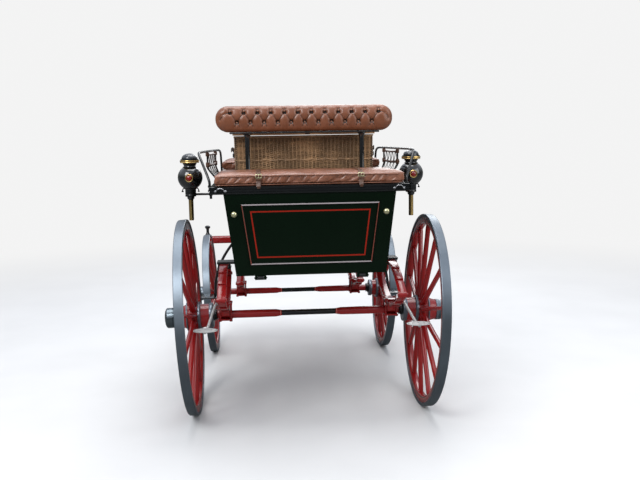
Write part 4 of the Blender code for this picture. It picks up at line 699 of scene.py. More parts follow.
def build_finishes():
    """Make every group and every material of the cart."""
    GROUPS["Patina"] = build_patina_group()
    GROUPS["Leather Grain"] = build_leather_group()
    GROUPS["Wood Grain"] = build_wood_group()
    GROUPS["Painted Line"] = build_edge_group()
    finish = settings()
    black = triple(finish.trim_black)
    red = triple(finish.running_red)
    brown = triple(finish.leather_brown)
    willow = triple(finish.willow)
    painted("gear_red", red, (0.36, 0.05, 0.035), 0.10, 0.26, shift=0.22, wear=0.10, coat=0.35, specular=0.35,
            bump=0.015)
    painted("coach_green", triple(finish.body_green), (0.03, 0.05, 0.035), 0.05, 0.16, wear=0.03, coat=0.06,
            bump=0.006, grain=40.0, specular=0.14)
    painted("trim_black", black, (0.09, 0.09, 0.095), 0.08, 0.22, wear=0.14, coat=0.35, bump=0.02, specular=0.3)
    painted("iron_black", black, (0.16, 0.14, 0.13), 0.14, 0.34, wear=0.30, coat=0.35, bump=0.05, specular=0.4)
    painted("cap_steel", (0.15, 0.18, 0.20), (0.30, 0.32, 0.34), 0.18, 0.34, shift=0.30, wear=0.30, coat=0.0,
            metallic=1.0, bump=0.06)
    painted("tyre_iron", (0.165, 0.195, 0.225), (0.36, 0.38, 0.40), 0.30, 0.46, shift=0.35, wear=0.45, coat=0.0,
            metallic=0.92, bump=0.16, grain=120.0)
    painted("pale_steel", (0.50, 0.51, 0.50), (0.30, 0.30, 0.29), 0.34, 0.50, shift=0.30, wear=0.45, coat=0.0,
            metallic=0.35, bump=0.08)
    painted("hoop_steel", (0.165, 0.19, 0.22), (0.42, 0.43, 0.44), 0.26, 0.42, wear=0.35, coat=0.1, metallic=0.85,
            bump=0.06)
    painted("bright_steel", (0.46, 0.47, 0.49), (0.66, 0.66, 0.66), 0.20, 0.36, wear=0.3, coat=0.0, metallic=1.0,
            bump=0.05)
    painted("brass", (0.78, 0.53, 0.20), (0.95, 0.78, 0.46), 0.16, 0.32, shift=0.25, wear=0.3, coat=0.1,
            metallic=1.0, bump=0.04)
    # Grey-pink line on the crests of the upper and lower beads: a painted highlight of the sky.
    ridge("bead_painted_highlight", triple(finish.body_green), (0.30, 0.265, 0.27))
    ridge("bead_red", triple(finish.body_green), (0.16, 0.040, 0.028))
    tail_paint()
    # The backrest gets painted shade in its pits and pleats from its fold attribute.
    leather("bolster_leather", brown, tuple(v * 1.30 for v in brown), 0.04, bump=0.14, fold="fold", coat=0.35)
    # Buttons paler than the roll: a painted highlight on them.
    leather("button_leather_painted_highlight", (0.30, 0.125, 0.070), (0.44, 0.220, 0.140), 0.0, bump=0.1)
    leather("cushion_leather", brown, (0.32, 0.125, 0.070), 0.50, bump=0.42, coat=0.55)
    leather("strap_leather", (0.075, 0.030, 0.015), (0.150, 0.070, 0.038), 0.3, pebble=700.0, bump=0.3)
    leather("dark_leather", (0.022, 0.013, 0.009), (0.06, 0.035, 0.025), 0.3, pebble=600.0, bump=0.3)
    wood("willow_stake", willow, tuple(v * 0.50 for v in willow), (18.0, 18.0, 5.0), 0.4)
    wood("willow_weave", tuple(v * 0.95 for v in willow), tuple(v * 0.42 for v in willow), (6.0, 24.0, 60.0), 0.5)
    wood("willow_pale", tuple(min(0.8, v * 1.6) for v in willow), tuple(v * 0.9 for v in willow),
         (8.0, 20.0, 40.0), 0.4)
    wood("floor_boards", (0.26, 0.155, 0.085), (0.10, 0.055, 0.030), (30.0, 2.2, 30.0), 0.3, coat=0.1)
    painted("lamp_black", black, (0.10, 0.10, 0.11), 0.05, 0.15, wear=0.10, coat=0.9, bump=0.012)
    painted("lamp_dome_black", (0.016, 0.019, 0.022), (0.12, 0.125, 0.13), 0.14, 0.30, wear=0.25, coat=0.6, bump=0.03)
    # Brass paler and greener than the lamps' brass: a painted reflection of grass, used for the knobs and buckles.
    painted("pale_brass_painted_reflection", (0.72, 0.70, 0.42), (0.90, 0.86, 0.62), 0.22, 0.40, shift=0.25, wear=0.4, coat=0.1,
            metallic=0.9, bump=0.05)
    # Near-black backing seen between the rods: painted shade inside the hamper and under the lid's weave.
    wood("weave_backing_painted_shade", tuple(v * 0.16 for v in willow), tuple(v * 0.05 for v in willow), (10.0, 10.0, 10.0), 0.3)
    for prefix, wheel in (("rear", REAR_WHEEL), ("front", FRONT_WHEEL)):
        for hand, side in SIDES:
            lined_red(prefix + "_" + hand + "_wheel_felloe_red", felloe_mask(wheel, side))
    lined_red("spoke_red", spoke_mask())
    lined_red("rear_axle_red", bar_mask(0.157))
    lined_red("front_axle_red", bar_mask(0.122))
    glass("ruby_glass", (0.40, 0.012, 0.008))
    glass("clear_glass", (0.62, 0.64, 0.62), 0.03)


def paint(piece, finish, nodes=()):
    """Give a piece its material and the nodes that it stands for."""
    piece.data.materials.clear()
    piece.data.materials.append(FINISHES[finish])
    if nodes:
        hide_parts(*nodes)
    return piece


def dress(piece, finish, body, nodes=()):
    """Paint a piece and let it ride on its body."""
    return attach(paint(piece, finish, nodes), body)


def carry(node, finish):
    """Paint one of the frame's own solids."""
    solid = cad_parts[node]
    solid.data.materials.clear()
    solid.data.materials.append(FINISHES[finish])


def moved(x, y, z):
    """Plain shift."""
    return Matrix.Translation((x, y, z))


def tipped(degrees, axis):
    """Plain turn about an axis through the origin."""
    return Matrix.Rotation(math.radians(degrees), 4, axis)


def lofted(name, sections, sides=12):
    """Oval bar along local X: each section is (x, width in Y, depth in Z, lift in Z)."""
    fresh()
    bpy.ops.mesh.primitive_circle_add(vertices=sides, radius=0.5, fill_type="NGON", rotation=(0, math.pi / 2, 0))
    piece = settle(added(name))
    start = sections[0]
    opened()
    bpy.ops.transform.resize(value=(1, start[1], start[2]), center_override=(0, 0, 0))
    bpy.ops.transform.translate(value=(start[0], 0, start[3]))
    for before, after in zip(sections, sections[1:]):
        step = (after[0] - before[0], 0, after[3] - before[3])
        bpy.ops.mesh.extrude_region_move(TRANSFORM_OT_translate={"value": step})
        bpy.ops.transform.resize(value=(1, after[1] / before[1], after[2] / before[2]),
                                 center_override=(after[0], 0, after[3]))
    bpy.ops.object.mode_set(mode="OBJECT")
    outward(piece)
    return smooth(piece, 40)


# Wheels

TYRE_WIDTH = 0.050
TYRE_DEPTH = 0.018
FELLOE_DEPTH = 0.040
FELLOE_WIDTH = 0.044
NAVE_RADIUS = 0.075
NAVE_INNER = 0.136
NAVE_OUTER = 0.075
ARM_RADIUS = 0.022
DISH = 0.026
GAP = 0.0003


def nave_radius(wheel):
    """Radius of a wheel's nave at the spokes."""
    return NAVE_RADIUS * wheel["nave"]


def make_spoke(wheel):
    """One spoke: square shoulder at the nave, oval shaft, and a tongue let into the felloe."""
    inner = nave_radius(wheel) - 0.006
    outer = wheel["radius"] - TYRE_DEPTH - FELLOE_DEPTH + 0.004
    length = outer - inner
    sections = []
    for share, width, depth in ((0, 0.031, 0.042), (0.05, 0.031, 0.042), (0.12, 0.029, 0.037), (0.22, 0.0245, 0.033),
                                (0.5, 0.0225, 0.030), (0.8, 0.0215, 0.0285), (0.92, 0.023, 0.030),
                                (0.965, 0.0225, 0.029), (1, 0.018, 0.024)):
        sections.append((inner + length * share, width, depth, -DISH * (1 - share)))
    spoke = lofted("spoke", sections, 12)
    layer = spoke.data.uv_layers.new(name="lining")
    for loop in spoke.data.loops:
        place = spoke.data.vertices[loop.vertex_index].co
        layer.data[loop.index].uv = (place.y, (place.x - inner) / length)
    return spoke


def make_wheel(prefix, wheel, side):
    """Tyre, felloes, spokes, nave, hoops and cap of one wheel."""
    place = wheel_matrix(wheel, side)
    radius = wheel["radius"]
    lean = TYRE_WIDTH / 2 * math.tan(CAMBER)
    half = TYRE_WIDTH / 2
    inside = radius - TYRE_DEPTH + GAP
    tyre = turned(prefix + "_iron_tyre", [
        (inside, half), (radius - lean - 0.002, half), (radius - lean, half - 0.003),
        (radius + lean, 0.003 - half), (radius + lean - 0.002, -half), (inside, -half)], place, 120, ring=True)
    dress(tyre, "tyre_iron", prefix, [prefix + "_tyre"])
    out = radius - TYRE_DEPTH - GAP
    deep = out - FELLOE_DEPTH
    wide = FELLOE_WIDTH / 2
    rim = turned(prefix + "_felloes", [
        (out, wide - 0.002), (out, 0.002 - wide), (out - 0.002, -wide), (deep + 0.011, -wide),
        (deep + 0.004, 0.0045 - wide), (deep + 0.0006, 0.011 - wide), (deep, 0.016 - wide), (deep, wide - 0.016),
        (deep + 0.0006, wide - 0.011), (deep + 0.004, wide - 0.0045), (deep + 0.011, wide), (out - 0.002, wide)],
        place, 120, ring=True)
    dress(rim, prefix + "_felloe_red", prefix, [prefix + "_rim"])
    count = wheel["spokes"]
    turns = [Matrix.Rotation(math.tau * (i + 0.5) / count, 4, "Z") for i in range(count)]
    spokes = laid_out([make_spoke(wheel)], [place @ turn for turn in turns])
    dress(joined(prefix + "_spokes", spokes), "spoke_red", prefix)
    make_nave(prefix, wheel, place)


def make_nave(prefix, wheel, place):
    """Turned nave with its steel hoops and the steel cap of the axle box."""
    scale = wheel["nave"]
    wide = nave_radius(wheel)
    inner = -NAVE_INNER * scale
    outer = NAVE_OUTER * scale
    bore = ARM_RADIUS + 0.002
    nave = turned(prefix + "_nave", [
        (wide - 0.021, outer - 0.002), (wide - 0.019, outer - 0.010), (wide - 0.012, 0.034), (wide - 0.004, 0.016),
        (wide + 0.001, 0.010), (wide + 0.001, -0.050), (wide - 0.003, -0.056), (wide - 0.004, -0.064),
        (wide - 0.007, -0.078), (wide - 0.009, inner + 0.030), (wide - 0.010, inner + 0.016), (bore, inner + 0.014),
        (bore, outer - 0.002)], place, 56, ring=True)
    dress(nave, "gear_red", prefix, [prefix + "_hub"])
    hoops = [turned("hoop", profile, place, 56, ring=True) for profile in (
        [(wide + 0.006, 0.0155), (wide + 0.0075, 0.013), (wide + 0.0075, 0.010), (wide + 0.006, 0.008),
         (wide - 0.004, 0.008), (wide - 0.004, 0.0155)],
        [(wide + 0.006, -0.049), (wide + 0.0075, -0.052), (wide + 0.0075, -0.062), (wide + 0.005, -0.065),
         (wide - 0.006, -0.066), (wide - 0.006, -0.049)],
        [(wide - 0.006, inner + 0.022), (wide - 0.0045, inner + 0.019), (wide - 0.0045, inner + 0.003),
         (wide - 0.006, inner), (bore, inner), (bore, inner + 0.012), (wide - 0.012, inner + 0.022)],
        [(wide - 0.015, outer), (wide - 0.0145, outer - 0.003), (wide - 0.0145, outer - 0.015),
         (wide - 0.019, outer - 0.016), (wide - 0.021, outer)])]
    dress(joined(prefix + "_hoops", hoops), "hoop_steel", prefix)
    radius = 0.058 * scale
    top = outer + 0.066 * scale
    cap = turned(prefix + "_cap", [
        (0, top), (radius * 0.52, top - 0.0008), (radius * 0.74, top - 0.003), (radius * 0.93, top - 0.009),
        (radius, top - 0.015), (radius, outer + 0.020), (radius * 0.965, outer + 0.018),
        (radius * 0.965, outer + 0.014), (radius + 0.002, outer + 0.012), (radius + 0.002, outer + 0.001),
        (radius - 0.004, outer - 0.004), (0, outer - 0.004)], place, 48)
    dress(cap, "cap_steel", prefix)


# Axles

AXLE_RADIUS = 0.0225
SEAT_RISE = 0.016
REAR_SPRING_X = 0.480
FRONT_SPRING_X = 0.424


def wheel_height(wheel):
    """Height of a wheel's centre."""
    return wheel["radius"] * math.cos(CAMBER)


def nut(name, place, across, depth, steps=6):
    """Hexagonal nut with chamfered corners, along local Z."""
    return turned(name, [(0, depth), (across * 0.43, depth), (across / 2, depth - across * 0.06), (across / 2, 0),
                         (0, 0)], place, steps)


def axle_heights(wheel):
    """Height of an axle bar and the half width of its thick ends."""
    drop = NAVE_INNER * wheel["nave"]
    root = wheel["half_track"] - drop * math.cos(CAMBER)
    return wheel_height(wheel) + drop * math.sin(CAMBER), root


def seat_top(axle_z):
    """Height at which a spring stands on its seat over an axle bar."""
    return axle_z + AXLE_RADIUS + GAP + SEAT_RISE + GAP


def make_axle(name, wheel, slim, spring_x):
    """Axle bar with its collars and arms, and the blocks, plates and bolts that clamp the springs to it."""
    height, root = axle_heights(wheel)
    y = wheel["y"]
    lie = moved(0, y, height) @ tipped(90, "Y")
    end = root - 0.012
    bar = turned(name + "_bar", [
        (0, end), (AXLE_RADIUS, end), (AXLE_RADIUS, 0.56 * end), (0.0215, slim + 0.034), (0.0180, slim + 0.012),
        (0.016, slim), (0.016, -slim), (0.0180, -slim - 0.012), (0.0215, -slim - 0.034), (AXLE_RADIUS, -0.56 * end),
        (AXLE_RADIUS, -end), (0, -end)], lie, 32)
    dress(bar, name + "_red", name, [name])
    arms, plates = [], []
    for _, side in SIDES:
        place = wheel_matrix(wheel, side)
        inner = -NAVE_INNER * wheel["nave"] - GAP
        outer = NAVE_OUTER * wheel["nave"] - 0.006
        arms.append(turned("arm", [
            (0, outer), (ARM_RADIUS, outer), (ARM_RADIUS, inner), (0.032, inner), (0.034, inner - 0.003),
            (0.034, inner - 0.010), (0.029, inner - 0.013), (0.029, inner - 0.016), (0.033, inner - 0.019),
            (AXLE_RADIUS, inner - 0.024), (0, inner - 0.024)], place, 32))
        plates.append(clamp(side * spring_x, y, height))
    dress(joined(name + "_arms", arms), "iron_black", name)
    dress(joined(name + "_spring_clamps", plates), "gear_red", name)


def clamp(x, y, axle_z):
    """Seat block, two plates and four bolts with nuts round one spring and the axle bar."""
    bottom = seat_top(axle_z)
    under = axle_z - AXLE_RADIUS * 0.9
    over = bottom + 0.021 + GAP
    shapes = [block("seat", (x - 0.023, y - 0.045, axle_z), (x + 0.023, y + 0.045, bottom - GAP), 0.002),
              block("foot", (x - 0.039, y - 0.045, under - 0.008), (x + 0.039, y + 0.045, under), 0.002),
              block("cover", (x - 0.039, y - 0.045, over), (x + 0.039, y + 0.045, over + 0.008), 0.002)]
    for across in (-1, 1):
        for along in (-1, 1):
            place = moved(x + across * 0.031, y + along * 0.036, 0)
            shapes.append(turned("bolt", [(0, over + 0.012), (0.0045, over + 0.011), (0.0045, under - 0.012),
                                          (0, under - 0.013)], place, 12))
            shapes.append(nut("nut", place @ moved(0, 0, over + 0.008), 0.017, 0.0035))
            shapes.append(nut("nut", place @ moved(0, 0, under - 0.008 - 0.005), 0.017, 0.005))
    return joined("clamp", shapes)


# Springs

LEAF = 0.007


def spring_line(half_length, rise, lift, reach, sign, station, middle):
    """Centre line of a leaf: level under its clips, then curving to its end."""
    arm = half_length - 0.045
    last = half_length * reach - 0.045
    row = []
    for i in range(11):
        out = last * i / 10
        slope = 2 * rise * out / arm ** 2
        length = math.hypot(1, slope)
        row.append((0.045 + out + lift * slope / length, rise * (1 - (out / arm) ** 2) + lift / length))
    points = [(-along, up) for along, up in reversed(row)] + row
    return [(0, station + along, middle + sign * up) for along, up in points]


def make_leaves(name, node, x, wheel, half_length, top):
    """Upper and lower leaves, rolled eyes and their pins of one full elliptic spring."""
    bottom = seat_top(axle_heights(wheel)[0])
    middle = (top + bottom) / 2
    rise = (top - bottom) / 2 - 3 * LEAF
    pieces = []
    for sign in (-1, 1):
        for i, reach in enumerate((1 - 0.010 / half_length, 0.73, 0.46)):
            line = spring_line(half_length, rise, LEAF * (i + 0.5), reach, sign, wheel["y"], middle)
            line = [(x, along, up) for _, along, up in line]
            pieces.append(strip("leaf", line, 0.046, LEAF - 0.0006, (1, 0, 0), 0.0014))
    leaves = joined(name, pieces)
    paint(leaves, "gear_red", [node])
    eyes = []
    for end in (-1, 1):
        place = moved(x, wheel["y"] + end * half_length, middle) @ tipped(90, "Y")
        eyes.append(turned("eye", [(0.0145, 0.0225), (0.015, 0.021), (0.015, -0.021), (0.0145, -0.0225),
                                   (0.006, -0.0225), (0.006, 0.0225)], place, 28, ring=True))
        eyes.append(turned("pin", [(0, 0.029), (0.009, 0.0285), (0.010, 0.026), (0.010, 0.0235), (0.0055, 0.023),
                                   (0.0055, -0.023), (0.010, -0.0235), (0.010, -0.0285), (0, -0.029)], place, 16))
    eyes = joined(name + "_eyes", eyes)
    paint(eyes, "gear_red")
    for piece in (leaves, eyes):
        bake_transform(piece)


# Backrest and cushions

BOLSTER_HALF = 0.508
BOLSTER_MIDDLE = 1.683
BOLSTER_HALF_HEIGHT = 0.074
BOLSTER_REAR = REAR_AXLE_Y + 0.072 - 0.052
BOLSTER_DEPTH = 0.104
BOLSTER_END = 0.072
BUTTON_SPAN = 0.923
UPPER_ROW = 0.043
LOWER_ROW = -0.021


def button_places():
    """Places (x, height above the middle) of the backrest's buttons, upper row first."""
    count = settings().bolster_buttons
    pitch = BUTTON_SPAN / count
    upper = [(pitch * (i - (count - 1) / 2), UPPER_ROW) for i in range(count)]
    lower = [(pitch * (i - (count - 2) / 2), LOWER_ROW) for i in range(count - 1)]
    return upper, lower


def segment_distance(point, start, end):
    """Distance from a point to a straight pleat."""
    line = end - start
    share = max(0.0, min(1.0, (point - start).dot(line) / line.length_squared))
    return (point - start - line * share).length


def tuft_depth(x, up, buttons, pleats):
    """How far the leather is pulled in at a place on the backrest's rear face, and how strong the painted shade is
    there, in the button pits and along the pleats.
    """
    deep = settings().tuft
    here = Vector((x, up))
    button = min((here - place).length for place in buttons)
    pleat = min(segment_distance(here, start, end) for start, end in pleats)
    pit = math.exp(-(button / 0.0128) ** 2)
    fold = 0.20 * math.exp(-(pleat / 0.0032)) + 0.17 * math.exp(-((pleat / 0.014) ** 2))
    return deep * min(1.0, pit + fold * (1 - pit)), min(1.0, 1.3 * math.exp(-(button / 0.0112) ** 4)
                                                        + 0.62 * math.exp(-(pleat / 0.0030) ** 2))


def pleat_lines():
    """Straight pleats between the rows, up from the upper row, down from the lower row and out to both ends."""
    upper, lower = button_places()
    upper = [Vector(place) for place in upper]
    lower = [Vector(place) for place in lower]
    lines = []
    for above, before, after in zip(lower, upper, upper[1:]):
        lines += [(above, before), (above, after)]
        lines += [(above, above + Vector((-0.013, -0.024))), (above, above + Vector((0.013, -0.024)))]
    for place in upper:
        lines += [(place, place + Vector((way, 0.026))) for way in (-0.008, 0, 0.008)]
    for place, way in ((upper[0], -1), (upper[-1], 1)):
        bend = place + Vector((way * 0.026, -0.006))
        tip = place + Vector((way * 0.048, -0.024))
        lines += [(place, bend), (bend, tip), (tip, place + Vector((way * 0.060, -0.048)))]
    return upper + lower, lines


def bolster_point(along, turn):
    """Point and outward direction on the plain roll: along from -1 to 1, turn from 0 at the rear, upwards."""
    x = along * BOLSTER_HALF
    over = max(0.0, abs(x) - (BOLSTER_HALF - BOLSTER_END)) / BOLSTER_END
    shrink = max(0.0, 1 - over ** 2.05) ** 0.5
    power = 0.80
    across, up = math.cos(turn), math.sin(turn)
    depth = math.copysign(abs(across) ** power, across) * BOLSTER_DEPTH / 2
    height = math.copysign(abs(up) ** power, up) * BOLSTER_HALF_HEIGHT
    narrow = 0.25 + 0.75 * shrink
    place = Vector((x, -depth * min(1.0, shrink * 1.05), height * shrink if over < 1 else 0.0))
    away = Vector((math.copysign(over ** 2, x) * 1.2, -across * narrow, up)).normalized()
    return place, away


def make_bolster():
    """Rolled backrest with deep buttons and pleats, and its buttons."""
    fresh()
    bpy.ops.mesh.primitive_grid_add(x_subdivisions=300, y_subdivisions=112, size=2)
    roll = added("bolster_roll")
    buttons, pleats = pleat_lines()
    folds = roll.data.attributes.new("fold", "FLOAT", "POINT")
    for vert, fold in zip(roll.data.vertices, folds.data):
        along, turn = vert.co.x, vert.co.y * math.pi
        along = math.copysign(1 - (1 - abs(along)) ** 1.15, along) if abs(along) > 0.9 else along
        place, away = bolster_point(along, turn)
        rear = max(0.0, math.cos(turn) + 0.35)
        pull, dark = tuft_depth(place.x, place.z + max(0.0, math.sin(turn)) * 0.012, buttons, pleats)
        # Painted shade on the rear face, strongest in the button pits and pleats, kept in the fold attribute.
        fold.value = dark * min(1.0, rear)
        vert.co = place - away * pull * min(1.0, rear * 1.6)
        vert.co += Vector((0, BOLSTER_REAR + BOLSTER_DEPTH / 2, BOLSTER_MIDDLE))
    outward(roll, 0.0004)
    bpy.ops.object.mode_set(mode="EDIT")
    bpy.ops.mesh.select_mode(type="VERT")
    bpy.ops.mesh.select_all(action="DESELECT")
    bpy.ops.mesh.select_non_manifold()
    bpy.ops.mesh.edge_face_add()
    bpy.ops.object.mode_set(mode="OBJECT")
    outward(roll, 0.0001)
    modified(roll, "SMOOTH", factor=0.35, iterations=1)
    pick(roll)
    bpy.ops.object.shade_smooth()
    dress(roll, "bolster_leather", "carriage_body", ["bolster"])
    studs = []
    for place in buttons:
        centre = nearest_rear(roll, place.x, place.y + BOLSTER_MIDDLE)
        studs.append(turned("button", [(0, 0.0046), (0.0028, 0.0041), (0.0048, 0.0026), (0.0056, 0), (0, -0.001)],
                            Matrix.Translation(centre) @ tipped(90, "X"), 16))
    dress(joined("bolster_buttons", studs), "button_leather_painted_highlight", "carriage_body")


def nearest_rear(piece, x, z):
    """Rearmost place of a piece near an x and z."""
    best = min(piece.data.vertices, key=lambda vert: (vert.co.x - x) ** 2 + (vert.co.z - z) ** 2
               + (0.0 if vert.co.y < BOLSTER_REAR + BOLSTER_DEPTH * 0.5 else 1.0))
    return best.co.copy()


def stuffed(name, low, high, pinch, cap, voxel=0.009):
    """Closed cushion: a smaller block, remeshed and blown up as cloth, held inside its space."""
    low, high = Vector(low), Vector(high)
    inset = Vector((0.008, 0.008, pinch))
    piece = block(name, low + inset, high - inset, 0.012, 3)
    piece.data.remesh_voxel_size = voxel
    bpy.ops.object.voxel_remesh()
    start = [vert.co.copy() for vert in piece.data.vertices]
    cloth = piece.modifiers.new("Cloth", "CLOTH")
    cloth.settings.quality = 4
    cloth.settings.use_pressure = True
    cloth.settings.uniform_pressure_force = 4
    cloth.settings.effector_weights.gravity = 0
    cloth.settings.tension_stiffness = 12
    scene = bpy.context.scene
    for number in range(1, 21):
        scene.frame_set(number)
    pick(piece)
    bpy.ops.object.modifier_apply(modifier=cloth.name)
    scene.frame_set(1)
    for vert, before in zip(piece.data.vertices, start):
        step = vert.co - before
        if step.length > cap:
            step = step * (cap / step.length)
        vert.co = before + step
    for axis in range(3):
        places = [vert.co[axis] for vert in piece.data.vertices]
        least, most = min(places), max(places)
        share = (high[axis] - low[axis]) / (most - least)
        for vert in piece.data.vertices:
            vert.co[axis] = low[axis] + (vert.co[axis] - least) * share
    return piece


def hold(vert, low, high):
    """Keep a vertex inside its cushion's space."""
    for axis in range(3):
        vert.co[axis] = min(max(vert.co[axis], low[axis]), high[axis])


def crowned(piece, low, high, crown, droop):
    """Press a stuffed piece into its space: flat below, crowned above, drawn in between its corners."""
    low, high = Vector(low), Vector(high)
    middle = (low + high) / 2
    half = (high - low) / 2
    for vert in piece.data.vertices:
        across = (vert.co.x - middle.x) / half.x
        along = (vert.co.y - middle.y) / half.y
        up = (vert.co.z - low.z) / (high.z - low.z)
        dome = (1 - abs(across) ** 4) * (1 - abs(along) ** 4)
        if up > 0.5:
            vert.co.z += (crown * dome - droop) * (up - 0.5) * 2
        pull = 0.006 * (1 - abs(along) ** 2) * abs(across) ** 6
        vert.co.x -= math.copysign(pull, across)
        vert.co.y -= math.copysign(0.004 * (1 - abs(across) ** 2) * abs(along) ** 6, along)
        hold(vert, low, high)


def crumpled(piece, low, high, seed, depth):
    """Slanting buckles round the sides of a cushion and soft dents on its top."""
    normals = [vert.normal.copy() for vert in piece.data.vertices]
    for vert, normal in zip(piece.data.vertices, normals):
        x, y, z = vert.co
        across = (z - low[2]) / (high[2] - low[2])
        side = 1.0 if abs(normal.z) < 0.6 else 0.0
        slant = (x if y < (low[1] + high[1]) / 2 else -x) - across * 0.050
        wave = noise.noise(Vector((slant * 26.0, across * 1.2, seed)))
        sharp = 1 - min(1.0, abs(wave) * 3.6)
        sag = noise.noise(Vector((x * 7.0, y * 9.0, seed + 4.0))) * 0.0045
        fold = sharp * depth * side * min(1.0, across * 3.0) * min(1.0, (1 - across) * 3.0)
        soft = (1 - side) * sag * min(1.0, max(0.0, across - 0.6) * 4)
        vert.co += normal * (soft - fold)
        hold(vert, low, high)


def piping(name, low, high, height, bow, radius=0.0030):
    """Welt cord round a cushion at a height, on a rounded rectangle."""
    points = []
    inset = 0.004
    corner = 0.030
    half_x, half_y = (high[0] - low[0]) / 2 - inset, (high[1] - low[1]) / 2 - inset
    middle = ((low[0] + high[0]) / 2, (low[1] + high[1]) / 2)
    for way_x, way_y, begin in ((1, 1, 0), (-1, 1, 90), (-1, -1, 180), (1, -1, 270)):
        centre = (way_x * (half_x - corner), way_y * (half_y - corner))
        for degrees in (0, 30, 60, 90):
            angle = math.radians(begin + degrees)
            points.append((middle[0] + centre[0] + corner * math.cos(angle),
                           middle[1] + centre[1] + corner * math.sin(angle)))
    path = []
    for (x0, y0), (x1, y1) in zip(points, points[1:] + points[:1]):
        steps = max(1, round(math.hypot(x1 - x0, y1 - y0) / 0.03))
        path += [(x0 + (x1 - x0) * i / steps, y0 + (y1 - y0) * i / steps) for i in range(steps)]
    spots = []
    for x, y in path:
        share = abs(x - middle[0]) / half_x
        spots.append((x - math.copysign(0.008 * (1 - abs(y - middle[1]) ** 2 / half_y ** 2), x - middle[0])
                      * (share > 0.9), y - math.copysign(0.005 * (1 - share ** 2), y - middle[1])
                      * (abs(y - middle[1]) > 0.85 * half_y), height - bow * share ** 3))
    return wire(name, spots, radius, 3, cyclic=True)


def make_cushion(name, node, low, high, crown, seed, depth):
    """One leather cushion with its welts."""
    piece = stuffed(name, low, high, 0.003, 0.016)
    crowned(piece, low, high, crown, crown * 0.5)
    modified(piece, "SUBSURF", levels=1, render_levels=1)
    crumpled(piece, low, high, seed, depth)
    pick(piece)
    bpy.ops.object.shade_smooth()
    dress(piece, "cushion_leather", "carriage_body", [node])
    tall = high[2] - low[2]
    welts = [piping("welt", low, high, high[2] - 0.26 * tall, 0.004), piping("welt", low, high, low[2] + 0.007, 0)]
    dress(joined(name + "_welts", welts), "cushion_leather", "carriage_body")


# Spaces of the cushions, as (low, high) corners
CUSHION_FLOOR = 1.3256
REAR_CUSHION = ((-0.504, REAR_AXLE_Y - 0.366, CUSHION_FLOOR), (0.504, REAR_AXLE_Y + 0.050, CUSHION_FLOOR + 0.073))
FRONT_CUSHION = ((-0.500, REAR_AXLE_Y + 0.480, 1.3759), (0.500, REAR_AXLE_Y + 0.885, 1.4459))
RAIL_FACE = REAR_AXLE_Y - 0.378


def buckle(name, place, width, height, bar=0.0016):
    """Rectangular wire buckle with a tongue, in the local XZ plane."""
    half_x, half_z = width / 2, height / 2
    loop = [(half_x, 0, half_z), (-half_x, 0, half_z), (-half_x, 0, -half_z), (half_x, 0, -half_z)]
    ring = wire(name, loop, bar, 3, cyclic=True, smooth_curve=False)
    tongue = wire("tongue", [(0, 0, half_z), (0, -0.003, 0), (0, 0, -half_z)], bar * 0.8, 3)
    piece = joined(name, [ring, tongue])
    piece.data.transform(place)
    return piece


def make_straps():
    """Two buckled straps that hold the rear cushion down, laid on the leather under them."""
    cushion = bpy.data.objects["rear_seat_cushion"]
    low, high = REAR_CUSHION
    bands, buckles = [], []
    for side in (-1, 1):
        x = side * 0.270
        near = [vert.co for vert in cushion.data.vertices if abs(vert.co.x - x) < 0.014]
        line = []
        for i in range(9):
            y = high[1] - 0.020 - i * (high[1] - low[1] - 0.040) / 8
            line.append((x, y, max(place.z for place in near if abs(place.y - y) < 0.016) + 0.0018))
        rear = min(place.y for place in near)
        top = line[-1][2]
        line += [(x, rear + 0.004, top - 0.006), (x, rear - 0.0016, top - 0.016), (x, rear - 0.0020, top - 0.036),
                 (x, RAIL_FACE - 0.0025, low[2] - 0.004)]
        bands.append(strip("band", line, 0.024, 0.0026, (1, 0, 0), 0.0006))
        tail = [(x, rear - 0.0062, top - 0.020), (x, rear - 0.0058, top - 0.044), (x, RAIL_FACE - 0.0062, low[2]),
                (x, RAIL_FACE - 0.0045, low[2] - 0.012)]
        bands.append(strip("tail", tail, 0.016, 0.0022, (1, 0, 0), 0.0006))
        keeper = [(x + way * 0.0140, rear - 0.0088, top - 0.031) for way in (-1, 1)]
        bands.append(strip("keeper", keeper, 0.009, 0.0022, (0, 0, 1), 0.0005))
        buckles.append(buckle("strap_buckle", moved(x, rear - 0.0078, top - 0.014), 0.030, 0.018, 0.0021))
    dress(joined("cushion_straps", bands), "strap_leather", "carriage_body")
    dress(joined("cushion_buckles", buckles), "pale_brass_painted_reflection", "carriage_body")


# Hamper

HAMPER_HALF = 0.412
HAMPER_REAR = REAR_AXLE_Y + 0.145
HAMPER_FRONT = REAR_AXLE_Y + 0.450
HAMPER_TOP = 1.590
HAMPER_NARROW = 0.004
ROW_PITCH = 0.0058
WEAVE_RADIUS = 0.0031
CORNER = 0.022


